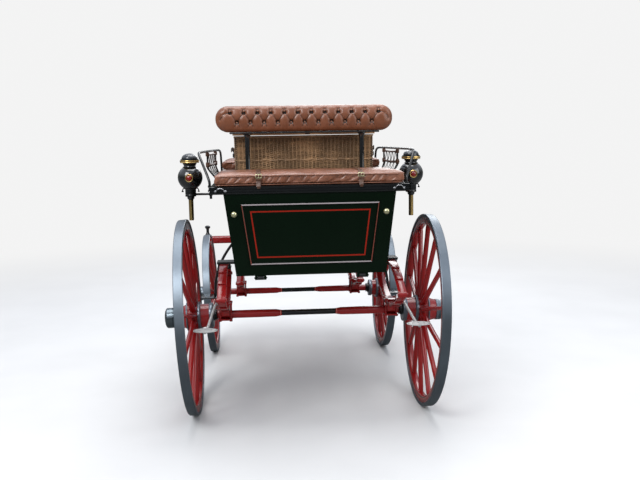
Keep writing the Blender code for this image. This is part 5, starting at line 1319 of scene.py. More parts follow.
def hamper_ring(count, inset=0.0):
    """Points and outward directions evenly round the hamper's rounded rectangle."""
    half_x = HAMPER_HALF - inset
    half_y = (HAMPER_FRONT - HAMPER_REAR) / 2 - inset
    centre_y = (HAMPER_FRONT + HAMPER_REAR) / 2
    flat_x, flat_y = half_x - CORNER, half_y - CORNER
    straight_x, straight_y = 2 * flat_x, 2 * flat_y
    arc = math.pi / 2 * CORNER
    total = 2 * (straight_x + straight_y) + 4 * arc
    ring = []
    for i in range(count):
        far = total * i / count
        for length, kind, x, y, angle in (
                (straight_x, "line", -flat_x, -half_y, 0), (arc, "arc", flat_x, -flat_y, -90),
                (straight_y, "line", half_x, -flat_y, 90), (arc, "arc", flat_x, flat_y, 0),
                (straight_x, "line", flat_x, half_y, 180), (arc, "arc", -flat_x, flat_y, 90),
                (straight_y, "line", -half_x, flat_y, 270), (arc, "arc", -flat_x, -flat_y, 180)):
            if far <= length:
                turn = math.radians(angle)
                if kind == "line":
                    place = Vector((x + far * math.cos(turn), y + far * math.sin(turn), 0))
                    away = Vector((math.sin(turn), -math.cos(turn), 0))
                else:
                    turn += far / CORNER
                    away = Vector((math.cos(turn), math.sin(turn), 0))
                    place = Vector((x, y, 0)) + away * CORNER
                ring.append((place + Vector((0, centre_y, 0)), away))
                break
            far -= length
    return ring


def woven_ring(name, stakes, phase, swing, radius, sides=2, per=3):
    """One willow rod woven round the stakes, in and out."""
    points = []
    for i, (place, away) in enumerate(hamper_ring(stakes * per, 0.006)):
        wave = math.sin(math.pi * (i / per) + phase)
        points.append(place + away * (swing * wave))
    return wire(name, points, radius, sides, cyclic=True, smooth_curve=False, cap=False)


def narrowed(height):
    """Scale of the hamper's plan at a height, a little smaller below."""
    share = (HAMPER_TOP - height) / (HAMPER_TOP - CUSHION_FLOOR)
    return 1 - share * HAMPER_NARROW / HAMPER_HALF, 1 - share * HAMPER_NARROW / ((HAMPER_FRONT - HAMPER_REAR) / 2)


def ring_place(height):
    """Matrix that lifts a ring to a height and narrows it about the hamper's middle."""
    across, along = narrowed(height)
    centre = Matrix.Translation((0, (HAMPER_FRONT + HAMPER_REAR) / 2, 0))
    return Matrix.Translation((0, 0, height)) @ centre @ Matrix.Diagonal((across, along, 1, 1)) @ centre.inverted()


def make_hamper_body():
    """Woven sides: rods in and out of upright stakes, a waling band, and plaited borders."""
    stakes = round(2 * (2 * HAMPER_HALF + HAMPER_FRONT - HAMPER_REAR) / settings().stake_pitch / 2) * 2
    rods = [woven_ring("rod", stakes, phase, 0.0022, WEAVE_RADIUS, 0) for phase in (0, math.pi)]
    low, high = CUSHION_FLOOR + 0.012, HAMPER_TOP - 0.014
    count = int((high - low) / ROW_PITCH)
    rings = laid_out(rods, [ring_place(low + ROW_PITCH * i) for i in range(count)])
    dress(joined("hamper_weave", rings), "willow_weave", "carriage_body", ["hamper_body"])
    uprights = []
    for place, _ in hamper_ring(stakes, 0.0065):
        ends = [ring_place(height) @ place for height in (CUSHION_FLOOR + 0.002, HAMPER_TOP - 0.006)]
        uprights.append(wire("stake", ends, 0.0036, 1, smooth_curve=False))
    dress(joined("hamper_stakes", uprights), "willow_stake", "carriage_body")
    walings = []
    for height, radius, swing, number in ((1.4445, 0.0042, 0.0030, 2), (HAMPER_TOP - 0.008, 0.0046, 0.0026, 2),
                                          (CUSHION_FLOOR + 0.0065, 0.0050, 0.0028, 2)):
        for i in range(number):
            ring = woven_ring("waling", stakes // 2, math.pi * i, swing, radius, 2, per=6)
            ring.data.transform(ring_place(height + (i - 0.5) * radius * 1.1 - (0.002 if height > 1.5 else 0)))
            walings.append(ring)
    dress(joined("hamper_borders", walings), "willow_stake", "carriage_body")
    # Dark shell behind the weave: painted shade between the rods.
    dress(hamper_shade_shell(), "weave_backing_painted_shade", "carriage_body")


def hamper_shade_shell():
    """Thin shell inside the weave, open at its top, that closes the view between the rods with painted shade."""
    across, along = narrowed(CUSHION_FLOOR)
    centre_y = (HAMPER_FRONT + HAMPER_REAR) / 2
    piece = block("hamper_shade_shell", (-HAMPER_HALF + 0.008, HAMPER_REAR + 0.008, CUSHION_FLOOR + 0.0005),
                  (HAMPER_HALF - 0.008, HAMPER_FRONT - 0.008, HAMPER_TOP - 0.003))
    for vert in piece.data.vertices:
        if vert.co.z < 1.4:
            vert.co.x *= across
            vert.co.y = centre_y + (vert.co.y - centre_y) * along
    pick(piece)
    bpy.ops.object.mode_set(mode="EDIT")
    bpy.ops.mesh.select_mode(type="FACE")
    bpy.ops.mesh.select_all(action="DESELECT")
    cage = bmesh.from_edit_mesh(piece.data)
    for face in cage.faces:
        face.select_set(face.normal.z > 0.9)
    bmesh.update_edit_mesh(piece.data)
    bpy.ops.mesh.delete(type="FACE")
    bpy.ops.mesh.select_mode(type="VERT")
    bpy.ops.object.mode_set(mode="OBJECT")
    modified(piece, "SOLIDIFY", thickness=0.0045, offset=-1.0)
    return piece


LID_BOTTOM = 1.5903
LID_TOP = 1.6103


def make_hamper_lid():
    """Woven lid with its board, ribs, frame, border and leather hasp."""
    half = HAMPER_HALF + 0.004
    rear, front = HAMPER_REAR - 0.004, HAMPER_FRONT + 0.004
    # Dark board under the lid's weave: painted shade between the rods.
    board = block("lid_board", (0.006 - half, rear + 0.006, LID_BOTTOM + 0.001),
                  (half - 0.006, front - 0.006, LID_BOTTOM + 0.009), 0.002)
    dress(board, "weave_backing_painted_shade", "hamper_lid", ["hamper_lid"])
    reach = half - 0.008
    count = int(2 * reach / settings().stake_pitch)
    steps = count * 3
    rods = []
    for phase in (0, math.pi):
        line = [(-reach + 2 * reach * i / steps, 0, 0.0020 * math.sin(math.pi * i / 3 + phase))
                for i in range(steps + 1)]
        rods.append(wire("lid_rod", line, WEAVE_RADIUS, 0, smooth_curve=False))
    rows = int((front - rear - 0.016) / ROW_PITCH)
    laid = laid_out(rods, [moved(0, rear + 0.010 + ROW_PITCH * i, LID_BOTTOM + 0.0125) for i in range(rows)])
    dress(joined("hamper_lid_weave", laid), "willow_weave", "hamper_lid")
    ribs = []
    for i in range(count + 1):
        x = -reach + 2 * reach * i / count
        ribs.append(wire("rib", [(x, rear + 0.004, LID_BOTTOM + 0.0122), (x, front - 0.004, LID_BOTTOM + 0.0122)],
                         0.0034, 1, smooth_curve=False))
    dress(joined("hamper_lid_ribs", ribs), "willow_stake", "hamper_lid")
    edges = [block("edge", (x0, y0, LID_BOTTOM), (x1, y1, LID_TOP - 0.007), 0.0025) for x0, y0, x1, y1 in (
        (-half, rear, half, rear + 0.009), (-half, front - 0.009, half, front),
        (-half, rear + 0.0095, 0.009 - half, front - 0.0095), (half - 0.009, rear + 0.0095, half, front - 0.0095))]
    dress(joined("hamper_lid_frame", edges), "willow_pale", "hamper_lid")
    rims = []
    corners = [(-half, rear), (half, rear), (half, front), (-half, front)]
    for phase in (0, math.pi):
        loop = []
        for (x0, y0), (x1, y1) in zip(corners, corners[1:] + corners[:1]):
            number = max(4, round(math.hypot(x1 - x0, y1 - y0) / 0.0085))
            for i in range(number):
                share = i / number
                wave = math.sin(math.pi * i / 2 + phase) * 0.0018
                x, y = x0 + (x1 - x0) * share, y0 + (y1 - y0) * share
                inward = Vector((-x / half, -(y - (rear + front) / 2) / ((front - rear) / 2), 0)) * 0.0052
                loop.append((x + inward.x, y + inward.y, LID_TOP - 0.0062 + wave))
        rims.append(wire("rim", loop, 0.0042, 2, cyclic=True, smooth_curve=False))
    dress(joined("hamper_lid_border", rims), "willow_stake", "hamper_lid")
    hasp = [strip("hasp", [(0.020, rear + 0.040, LID_TOP + 0.0005), (0.020, rear + 0.004, LID_TOP + 0.0008),
                           (0.020, rear - 0.0035, LID_TOP - 0.008), (0.020, rear - 0.0035, LID_BOTTOM + 0.001)],
                  0.026, 0.0026, (1, 0, 0), 0.0006)]
    dress(joined("hamper_hasp", hasp), "strap_leather", "hamper_lid")


def make_hamper_trim():
    """Leather handles at the hamper's ends, each with its buckle."""
    bands, buckles = [], []
    middle = (HAMPER_REAR + HAMPER_FRONT) / 2
    for side in (-1, 1):
        x = side * (HAMPER_HALF + 0.001)
        line = [(x + side * out, middle + along, height) for out, along, height in (
            (0, -0.070, 1.500), (0.010, -0.062, 1.512), (0.016, -0.030, 1.506), (0.018, 0, 1.502),
            (0.016, 0.030, 1.506), (0.010, 0.062, 1.512), (0, 0.070, 1.500))]
        bands.append(strip("handle", line, 0.020, 0.0045, (0, 0, 1), 0.0012))
        for end in (-1, 1):
            y = middle + end * 0.070
            bands.append(block("loop", (min(x, x + side * 0.0035), y - 0.012, 1.455),
                               (max(x, x + side * 0.0035), y + 0.012, 1.516), 0.0012))
            turn = moved(x + side * 0.006, y, 1.474) @ tipped(90, "Z")
            buckles.append(buckle("handle_buckle", turn, 0.028, 0.019, 0.0018))
    dress(joined("hamper_handles", bands), "dark_leather", "carriage_body")
    dress(joined("hamper_buckles", buckles), "hoop_steel", "carriage_body")


# Lamps

LAMP_X = 0.700
LAMP_Y = REAR_AXLE_Y + 0.500
GLOBE_Z = 1.335
GLOBE_RADIUS = 0.077
LAMP_TOP = 1.486
RING_TOP = 1.243


def lamp_shell(place):
    """Turned lamp body: neck, globe, collar and socket."""
    globe = []
    for degrees in range(60, -62, -6):
        angle = math.radians(degrees)
        globe.append((GLOBE_RADIUS * math.cos(angle), GLOBE_Z + GLOBE_RADIUS * math.sin(angle)))
    head = below(LAMP_TOP, (0, 0.058), (0.043, 0.058), (0.043, 0.066), (0.0395, 0.070), (0.036, 0.078))
    stem = below(RING_TOP, (0.034, -0.018), (0.034, -GAP), (0.0225, -GAP), (0.0225, 0.036), (0.0205, 0.041),
                 (0.0165, 0.043), (0.0165, 0.047), (0, 0.047))
    return turned("lamp_shell", [*head, (0.037, globe[0][1] + 0.004), *globe, *stem], place, 56)


def make_lamp(hand, side):
    """One carriage lamp: shell, fluted dome, gallery, lenses in their bezels, latches and candle tube."""
    place = moved(side * LAMP_X, LAMP_Y, 0)
    body = "lamp_" + hand
    top = LAMP_TOP
    bands = [lamp_shell(place)]
    for height, radius in ((GLOBE_Z + 0.0665, 0.0405), (GLOBE_Z - 0.0675, 0.0385)):
        bands.append(turned("band", [(radius + 0.002, height + 0.003), (radius + 0.004, height + 0.001),
                                     (radius + 0.004, height - 0.001), (radius + 0.002, height - 0.003),
                                     (radius - 0.006, height - 0.003), (radius - 0.006, height + 0.003)],
                            place, 48, ring=True))
    dress(joined("lamp_shell_" + hand, bands), "lamp_black", body, [body])
    dome = turned("lamp_dome_" + hand, below(
        top, (0, 0), (0.010, 0.0008), (0.022, 0.0035), (0.034, 0.0085), (0.043, 0.0155), (0.048, 0.024),
        (0.0495, 0.031), (0.0495, 0.036), (0.044, 0.037), (0, 0.036)), place, 72, angle=50)
    for vert in dome.data.vertices:
        across, along = vert.co.x - side * LAMP_X, vert.co.y - LAMP_Y
        reach = math.hypot(across, along)
        if vert.co.z > top - 0.030 and 0.012 < reach:
            wave = math.cos(math.atan2(along, across) * 18)
            vert.co.z -= 0.0016 * (1 - wave) / 2 * min(1.0, reach / 0.035)
    dress(dome, "lamp_dome_black", body)
    collar = turned("lamp_gallery_black_" + hand, below(
        top, (0.0560, 0.036), (0.0565, 0.041), (0.0540, 0.043), (0, 0.043), (0, 0.035)), place, 48)
    dress(collar, "lamp_black", body)
    gallery = turned("lamp_gallery_" + hand, below(
        top, (0.0600, 0.0432), (0.0610, 0.0455), (0.0605, 0.050), (0.0585, 0.0525), (0.0600, 0.0555),
        (0.0575, 0.0590), (0.044, 0.0590), (0.044, 0.0432)), place, 64, ring=True)
    tube = turned("candle_tube_" + hand, [
        (0, RING_TOP - 0.045), (0.0150, RING_TOP - 0.045), (0.0150, 1.072), (0.0142, 1.0715), (0.0142, 1.0695),
        (0.0150, 1.069), (0.0145, 1.0664), (0.010, 1.0660), (0, 1.0660)], place, 32)
    parts = [gallery, tube]
    latches = []
    for way, radius, proud in ((-1, 0.025, 0.0095), (1, 0.058, 0.008)):
        look = moved(side * LAMP_X, LAMP_Y, GLOBE_Z) @ tipped(-90 * way, "X")
        base = math.sqrt(GLOBE_RADIUS ** 2 - radius ** 2)
        reach = GLOBE_RADIUS + proud
        if way < 0:
            parts.append(turned("bezel", [
                (radius - 0.0065, reach), (radius - 0.002, reach + 0.0008), (radius, reach - 0.002),
                (radius, reach - 0.006), (radius + 0.0015, base + 0.001), (radius + 0.001, base - 0.003),
                (radius - 0.008, base - 0.003), (radius - 0.008, reach - 0.003)], look, 40, ring=True))
            lens = turned("lamp_lens_rear_" + hand, [
                (0, reach + 0.0065), (0.006, reach + 0.0060), (0.0115, reach + 0.0042), (0.0155, reach + 0.0012),
                (0.0175, reach - 0.002), (0.0175, base - 0.001), (0, base - 0.001)], look, 32, angle=60)
            dress(lens, "ruby_glass", body)
        else:
            parts.append(turned("bezel", [
                (radius - 0.007, reach - 0.001), (radius - 0.002, reach + 0.0012), (radius, reach - 0.001),
                (radius, base + 0.004), (radius + 0.001, base + 0.001), (radius - 0.001, base - 0.004),
                (radius - 0.009, base - 0.004), (radius - 0.009, reach - 0.004)], look, 56, ring=True))
            mirror = turned("lamp_mirror_" + hand, [
                (0, base + 0.0040), (0.020, base + 0.0048), (0.038, base + 0.0075), (0.0485, base + 0.012),
                (0.0485, base + 0.001), (0, base + 0.001)], look, 40, angle=60)
            dress(mirror, "bright_steel", body)
            lens = turned("lamp_lens_front_" + hand, [
                (0, reach + 0.0085), (0.015, reach + 0.0078), (0.032, reach + 0.0045), (0.044, reach + 0.0008),
                (0.0500, reach - 0.003), (0.0495, base + 0.0145), (0.030, base + 0.0160), (0, base + 0.0175)],
                look, 48, angle=60)
            dress(lens, "clear_glass", body)
    for way in (-1, 1):
        arm = [(side * LAMP_X + way * out, LAMP_Y, GLOBE_Z - down)
               for out, down in ((0.034, 0.058), (0.052, 0.072), (0.050, 0.084))]
        latches.append(wire("latch", arm, 0.0034, 3))
        latches.append(nut("thumb_nut", moved(side * LAMP_X + way * 0.050, LAMP_Y, GLOBE_Z - 0.090), 0.013, 0.008))
    dress(joined("lamp_brass_" + hand, parts), "brass", body)
    dress(joined("lamp_latches_" + hand, latches), "lamp_black", body)


# Irons, rails and steps

DECK_TOP = 1.3253
IRON_RADIUS = 0.007
IRON_TOP = 1.500
IRON_SPREAD = 0.585
FOOT_X = 0.5173
FOOT_Z = 1.2963
RAIL_X = 0.5326
LACE_X = 0.534
LACE_Z = 1.352
# Spread at the top and station of each post
MIDDLE_POST = (0.573, 0.270)
FRONT_POST = (0.545, 0.620)
FRONT_IRON_X = 0.520
BODY_BOTTOM = 0.852
BODY_HALF = 0.400
BODY_FLARE = 0.056
BODY_DEPTH = 0.438
WALL_TILT = 7.3


def ahead(station):
    """World Y of a station ahead of the rear axle."""
    return REAR_AXLE_Y + station


def wall_x(height):
    """Half width of the body's outer face at a height."""
    return BODY_HALF + BODY_FLARE * (height - BODY_BOTTOM) / BODY_DEPTH


def on_wall(side, reach, y, height):
    """Place of a turned flange on the body's leaning side."""
    return moved(side * reach, y, height) @ tipped(side * (90 - WALL_TILT), "Y")


def sleek(points, spacing=0.02):
    """Points about a spacing apart on a smooth curve through chosen points."""
    nodes = [Vector(point) for point in points]
    nodes = [2 * nodes[0] - nodes[1], *nodes, 2 * nodes[-1] - nodes[-2]]
    path = []
    for before, start, end, after in zip(nodes, nodes[1:], nodes[2:], nodes[3:]):
        count = max(1, round((end - start).length / spacing))
        for i in range(count):
            t = i / count
            path.append(0.5 * (2 * start + (end - before) * t + (2 * before - 5 * start + 4 * end - after) * t * t
                               + (3 * start - before - 3 * end + after) * t * t * t))
    return path + [nodes[-2]]


def bar_through(name, points, radius, sides=4):
    """Round bar on a smooth curve through points."""
    return wire(name, sleek(points), radius, sides, smooth_curve=False)


def post_line(side, spread, station):
    """Run of one upright iron of the side rail."""
    line = [(FOOT_X, station, FOOT_Z), (FOOT_X, station, FOOT_Z + 0.030), (spread, station, IRON_TOP - 0.100),
            (spread, station, IRON_TOP - 0.060), (spread, station, IRON_TOP)]
    return [(side * x, ahead(y), z) for x, y, z in line]


def make_side_rail(hand, side):
    """Hand iron that runs on as the side rail, its posts, feet and the laced leather panel between two posts."""
    low, top = FOOT_Z, IRON_TOP
    rear, front = -0.250, 0.840
    line = [(RAIL_X, rear, low), (RAIL_X, rear, low + 0.050), (IRON_SPREAD - 0.020, rear + 0.050, top - 0.070),
            (IRON_SPREAD + 0.006, rear + 0.110, top - 0.010), (IRON_SPREAD + 0.004, rear + 0.190, top),
            (MIDDLE_POST[0], MIDDLE_POST[1], top), (FRONT_POST[0], FRONT_POST[1], top),
            (FRONT_IRON_X + 0.008, front - 0.080, top - 0.003), (FRONT_IRON_X + 0.002, front - 0.020, top - 0.024),
            (FRONT_IRON_X, front, top - 0.080), (FOOT_X + 0.001, front, low + 0.060), (FOOT_X, front, low)]
    irons = [bar_through("iron", [(side * x, ahead(y), z) for x, y, z in line], IRON_RADIUS)]
    for spread, station in (MIDDLE_POST, FRONT_POST):
        irons.append(bar_through("post", post_line(side, spread, station), 0.0056, 4))
    for x, station in ((RAIL_X, rear), (FOOT_X, front), (FOOT_X, MIDDLE_POST[1]), (FOOT_X, FRONT_POST[1])):
        for height in (low + 0.002, low + 0.026):
            turn = moved(side * x, ahead(station), height) @ tipped(90 * side, "Y")
            irons.append(nut("bolt_head", turn @ moved(0, 0, 0.0045), 0.012, 0.0045))
    dress(joined("side_irons_" + hand, irons), "iron_black", "carriage_body", ["side_rail_" + hand])
    make_netting(hand, side)


def make_netting(hand, side):
    """Leather bars laced with cord between the two posts."""
    near = Vector((side * MIDDLE_POST[0], ahead(MIDDLE_POST[1]), 0))
    far = Vector((side * FRONT_POST[0], ahead(FRONT_POST[1]), 0))
    along = (far - near).normalized()
    inner = Vector((-side * 0.004, 0, 0))

    def spot(share, height, drift=0.0, lean=0.0):
        """Point between the posts at a height, shifted along them and inwards."""
        return near.lerp(far, share) + along * drift + inner * lean + Vector((0, 0, height))

    bars = []
    for height, radius, reach in ((IRON_TOP - 0.018, 0.0052, 0.010), (IRON_TOP - 0.080, 0.0080, 0.020)):
        bars.append(bar_through("leather_bar", [spot(0, height, -reach), spot(0.5, height - 0.005),
                                                spot(1, height, reach)], radius, 4))
        for share in (0, 1):
            wrap = [(0.0098, radius + 0.006), (0.0108, radius + 0.003), (0.0108, -radius - 0.003),
                    (0.0098, -radius - 0.006), (0.0058, -radius - 0.006), (0.0058, radius + 0.006)]
            bars.append(turned("wrap", wrap, Matrix.Translation(spot(share, height)), 20, ring=True))
    dress(joined("side_leathers_" + hand, bars), "strap_leather", "carriage_body")
    cords = []
    count = 9
    for i in range(count):
        share = (i + 0.6) / (count + 0.2)
        drift = 0.014 if i % 2 else -0.014
        cords.append(bar_through("lace", [spot(share, IRON_TOP - 0.020, -drift, 1), spot(share, IRON_TOP - 0.048),
                                          spot(share, IRON_TOP - 0.079, drift, 1)], 0.0022, 1))
        foot = Vector((side * LACE_X, spot(share, 0).y - drift * 1.5, LACE_Z))
        cords.append(bar_through("lace", [spot(share, IRON_TOP - 0.082, drift), spot(share, IRON_TOP - 0.120, 0, 3),
                                          foot], 0.0020, 1))
    rear, front = near.y, far.y
    middle = (side * (LACE_X - 0.001), (rear + front) / 2, LACE_Z - 0.002)
    cords.append(bar_through("low_lace", [(side * LACE_X, rear, LACE_Z), middle, (side * LACE_X, front, LACE_Z)],
                             0.0030, 2))
    dress(joined("side_laces_" + hand, cords), "dark_leather", "carriage_body")


def make_lamp_bracket(hand, side):
    """Bar from the body's side with its flange, the upright stay and the ring of the lamp."""
    middle = RING_TOP - 0.013
    ring = turned("ring", below(RING_TOP, (0.033, 0), (0.034, 0.001), (0.034, 0.010), (0.0325, 0.013), (0.034, 0.016),
                                (0.034, 0.025), (0.033, 0.026), (0.0240, 0.026), (0.0237, 0)),
                  moved(side * LAMP_X, LAMP_Y, 0), 48, ring=True)
    wall = wall_x(middle)
    parts = [ring,
             bar_through("bar", [(side * (wall + 0.004), LAMP_Y, middle), (side * 0.56, LAMP_Y, middle),
                                 (side * 0.669, LAMP_Y, middle)], 0.0072, 4),
             bar_through("stay", [(side * 0.575, LAMP_Y, middle - 0.031), (side * 0.575, LAMP_Y, middle + 0.037)],
                         0.0080, 4),
             turned("boss", [(0.0095, 0.011), (0.0120, 0.008), (0.0120, -0.008), (0.0095, -0.011), (0, -0.011),
                             (0, 0.011)], moved(side * 0.575, LAMP_Y, middle), 24)]
    plate = turned("flange", [(0, 0.010), (0.010, 0.010), (0.014, 0.005), (0.029, 0.004), (0.030, 0.001), (0.030, 0),
                              (0, 0)], on_wall(side, wall + 0.0005, LAMP_Y, middle), 32)
    for vert in plate.data.vertices:
        vert.co.y = LAMP_Y + (vert.co.y - LAMP_Y) * 0.72
    parts.append(plate)
    dress(joined("lamp_irons_" + hand, parts), "iron_black", "carriage_body", ["lamp_bracket_" + hand])


def make_footman_loop(x):
    """Flat wire loop with two feet, standing on the rail's face."""
    y, z = RAIL_FACE, DECK_TOP - 0.008
    half = ((0.025, 0.002, 0.015), (0.020, 0.004, 0.013), (0.014, 0.010, 0.003), (0.008, 0.0125, 0))
    line = [(x - out, y - back, z - down) for out, back, down in half]
    line += [(x + out, y - back, z - down) for out, back, down in reversed(half)]
    loop = bar_through("loop", line, 0.0026, 3)
    feet = [turned("foot", [(0, 0.0035), (0.004, 0.003), (0.0062, 0.001), (0.0062, -0.002), (0, -0.002)],
                   moved(x + way * 0.026, y, z - 0.015) @ tipped(90, "X"), 20) for way in (-1, 1)]
    return joined("loop", [loop, *feet])


def make_rail():
    """Seat rail with its moulded face, and the bright footman loops."""
    half = 0.510 + GAP + 0.015
    low, high = DECK_TOP - 0.039, DECK_TOP
    back = ahead(0.100)
    outline = [(0.0, high - 0.001), (0.0, high - 0.012), (0.0022, high - 0.0135), (0.0022, high - 0.0165),
               (0.0, high - 0.018), (0.0, high - 0.0265), (0.0024, high - 0.028), (0.0024, high - 0.031),
               (0.0, high - 0.0325), (0.001, low + 0.001), (0.003, low), (0.015, low), (0.015, high), (0.002, high)]
    corners = [(-half, back, -half + 0.015, back), (-half, RAIL_FACE, -half + 0.015, RAIL_FACE + 0.015),
               (half, RAIL_FACE, half - 0.015, RAIL_FACE + 0.015), (half, back, half - 0.015, back)]
    shares = [(inset / 0.015, z) for inset, z in outline]
    rail = skinned("seat_rail_moulding", [[(x0 + (x1 - x0) * share, y0 + (y1 - y0) * share, z) for share, z in shares]
                                          for x0, y0, x1, y1 in corners])
    outward(rail)
    smooth(rail, 25)
    dress(rail, "trim_black", "carriage_body", ["seat_rail"])
    loops = [make_footman_loop(x) for x in (-0.470, 0.470)]
    dress(joined("footman_loops", loops), "bright_steel", "carriage_body")


def make_rear_step(hand, side):
    """Oval tread with two holes, on its rod from the spring's clamp."""
    x, y, z = side * 0.570, ahead(-0.400), 0.572
    tread = turned("step_tread_" + hand, [(0.042, 0.0032), (0.0445, 0.0022), (0.0450, 0), (0.0440, -0.0024),
                                          (0.042, -0.003), (0, -0.003), (0, 0.003), (0.040, 0.003)],
                   Matrix.Identity(4), 64)
    for vert in tread.data.vertices:
        vert.co.x *= 0.065 / 0.045
        vert.co.y *= 0.044 / 0.045
    for shift in (-0.031, 0.031):
        cutter = turned("hole", [(0, 0.01), (0.0078, 0.01), (0.0078, -0.01), (0, -0.01)], moved(shift, 0, 0), 20)
        outward(cutter)
        pick(tread)
        hole = tread.modifiers.new("Hole", "BOOLEAN")
        hole.operation = "DIFFERENCE"
        hole.solver = "EXACT"
        hole.object = cutter
        bpy.ops.object.modifier_apply(modifier=hole.name)
        bpy.data.objects.remove(cutter, do_unlink=True)
    tread.data.transform(moved(x, y, z))
    smooth(tread, 30)
    dress(tread, "pale_steel", "rear_axle", ["rear_step_" + hand])
    under = z - 0.0075
    clip_x, clip_y, clip_z = REAR_SPRING_X + 0.0315, REAR_AXLE_Y - 0.0453, 0.6298
    line = [(side * clip_x, clip_y, clip_z), (side * clip_x, clip_y - 0.015, clip_z),
            (side * (clip_x + 0.018), clip_y - 0.052, clip_z + 0.018), (x - side * 0.010, y + 0.070, z + 0.005),
            (x - side * 0.004, y + 0.034, under), (x, y - 0.025, under)]
    rod = [bar_through("rod", line, 0.0073, 4), nut("nut", moved(x, y + 0.010, z + 0.003), 0.012, 0.004)]
    dress(joined("step_rod_" + hand, rod), "pale_steel", "rear_axle")


def make_front_step(hand, side):
    """Square ribbed tread on its iron from the body's side."""
    x, y, z = side * 0.618, ahead(0.700), 0.530
    bars = [block("tread", (x - 0.055, y - 0.070, z), (x + 0.055, y + 0.070, z + 0.006), 0.0014)]
    for i in range(5):
        rib = x - 0.044 + 0.022 * i
        bars.append(block("rib", (rib - 0.002, y - 0.060, z + 0.005), (rib + 0.002, y + 0.060, z + 0.0078), 0.0008))
    height = BODY_BOTTOM + 0.050
    start = wall_x(height) + GAP
    slope = math.atan2(BODY_FLARE, BODY_DEPTH)
    line = [(start, height), (start + 0.030 * math.cos(slope), height - 0.030 * math.sin(slope)),
            (start + 0.060, height - 0.030), (0.530, 0.772), (0.570, z + 0.120), (0.580, z + 0.020),
            (0.580, z + 0.002)]
    bars.append(bar_through("stay", [(side * out, y, up) for out, up in line], 0.0088, 4))
    bars.append(turned("flange", [(0, 0.013), (0.012, 0.012), (0.014, 0.005), (0.026, 0.004), (0.027, 0.001),
                                  (0.027, 0), (0, 0)], on_wall(side, start, y, height), 28))
    dress(joined("front_step_iron_" + hand, bars), "iron_black", "carriage_body",
          ["front_step_" + hand])


# Tailboard fittings

TAIL_FACE = REAR_AXLE_Y - 0.370
# Half width and height of the panel's bottom and top
BEAD = ((0.326, 0.908), (0.369, 1.236))


def make_tail_beads():
    """Half-round beads round the tailboard's panel, mitred at the corners."""
    (low_half, low), (high_half, high) = BEAD
    corners = [(-low_half, low), (low_half, low), (high_half, high), (-high_half, high)]
    names = (("tail_bead_low", "bead_painted_highlight"), ("tail_bead_right", "bead_red"), ("tail_bead_high", "bead_painted_highlight"),
             ("tail_bead_left", "bead_red"))
    width = 0.014
    inner = [(-low_half + width, low + width), (low_half - width, low + width), (high_half - width, high - width),
             (width - high_half, high - width)]
    for i, (name, finish) in enumerate(names):
        j = (i + 1) % 4
        half = 0.13 if i % 2 else 0.20
        profile = ((0, 0.0003), (0.04, 0.0030), (0.15, 0.0062), (0.46 - half, 0.0083), (0.5 - half, 0.0086),
                   (0.5, 0.0090), (0.5 + half, 0.0086), (0.54 + half, 0.0083), (0.85, 0.0062), (0.96, 0.0030),
                   (1, 0.0003))
        bead = skinned(name, [[(x0 + (x1 - x0) * share, TAIL_FACE - proud, z0 + (z1 - z0) * share)
                               for share, proud in profile]
                              for (x0, z0), (x1, z1) in ((corners[i], inner[i]), (corners[j], inner[j]))])
        line = bead.data.attributes.new("line", "FLOAT", "POINT")
        # The middle rows of each bead carry its line: a painted highlight on the upper and lower beads, red lining on
        # the side beads.
        crest = [1.0 if 4 <= k < 7 else 0.0 for k in range(len(profile))]
        line.data.foreach_set("value", crest * 2)
        outward(bead)
        smooth(bead, 40)
        dress(bead, finish, "tailboard", ["tailboard_moulding"] if i == 0 else ())


def make_knob(hand, side):
    """Turned brass knob on its dished plate."""
    place = moved(side * 0.403, TAIL_FACE - GAP, 1.180) @ tipped(90, "X")
    knob = turned("tail_knob_" + hand, [
        (0, 0.0105), (0.0060, 0.0100), (0.0105, 0.0080), (0.0128, 0.0050), (0.0128, 0.0034), (0.0105, 0.0026),
        (0.0150, 0.0022), (0.0155, 0.0008), (0.0155, 0), (0, 0)], place, 40)
    dress(knob, "pale_brass_painted_reflection", "tailboard", ["tailboard_knob_" + hand])


# Fore carriage

SPLINTER_Y = REAR_AXLE_Y + 1.760


def make_turntable():
    """Upper and lower turning rings, and the king bolt's head."""
    for name, bottom, body in (("fifth_wheel_lower", 0.7256, "fore_carriage"),
                               ("fifth_wheel_upper", 0.7379, "carriage_body")):
        ring = turned(name + "_ring", [
            (0.2190, 0.012), (0.2200, 0.011), (0.2200, 0.001), (0.2190, 0), (0.1890, 0), (0.1880, 0.001),
            (0.1880, 0.011), (0.1890, 0.012)], moved(0, FRONT_AXLE_Y, bottom), 96, ring=True)
        dress(ring, "iron_black", body, [name])
    pin = [nut("king_nut", moved(0, FRONT_AXLE_Y, 0.6410), 0.042, 0.013),
           turned("king_bolt", [(0, 0.780), (0.012, 0.7795), (0.012, 0.654), (0.0208, 0.6545), (0.0208, 0.6515),
                                (0, 0.6515)], moved(0, FRONT_AXLE_Y, 0), 24)]
    dress(joined("king_bolt", pin), "hoop_steel", "carriage_body", ["kingpin"])


def under_plate(x, half, behind, before, low):
    """Thin plate against the underside of the splinter bar."""
    return block("plate", (x - half, SPLINTER_Y - behind, low - 0.0025), (x + half, SPLINTER_Y + before, low), 0.001)


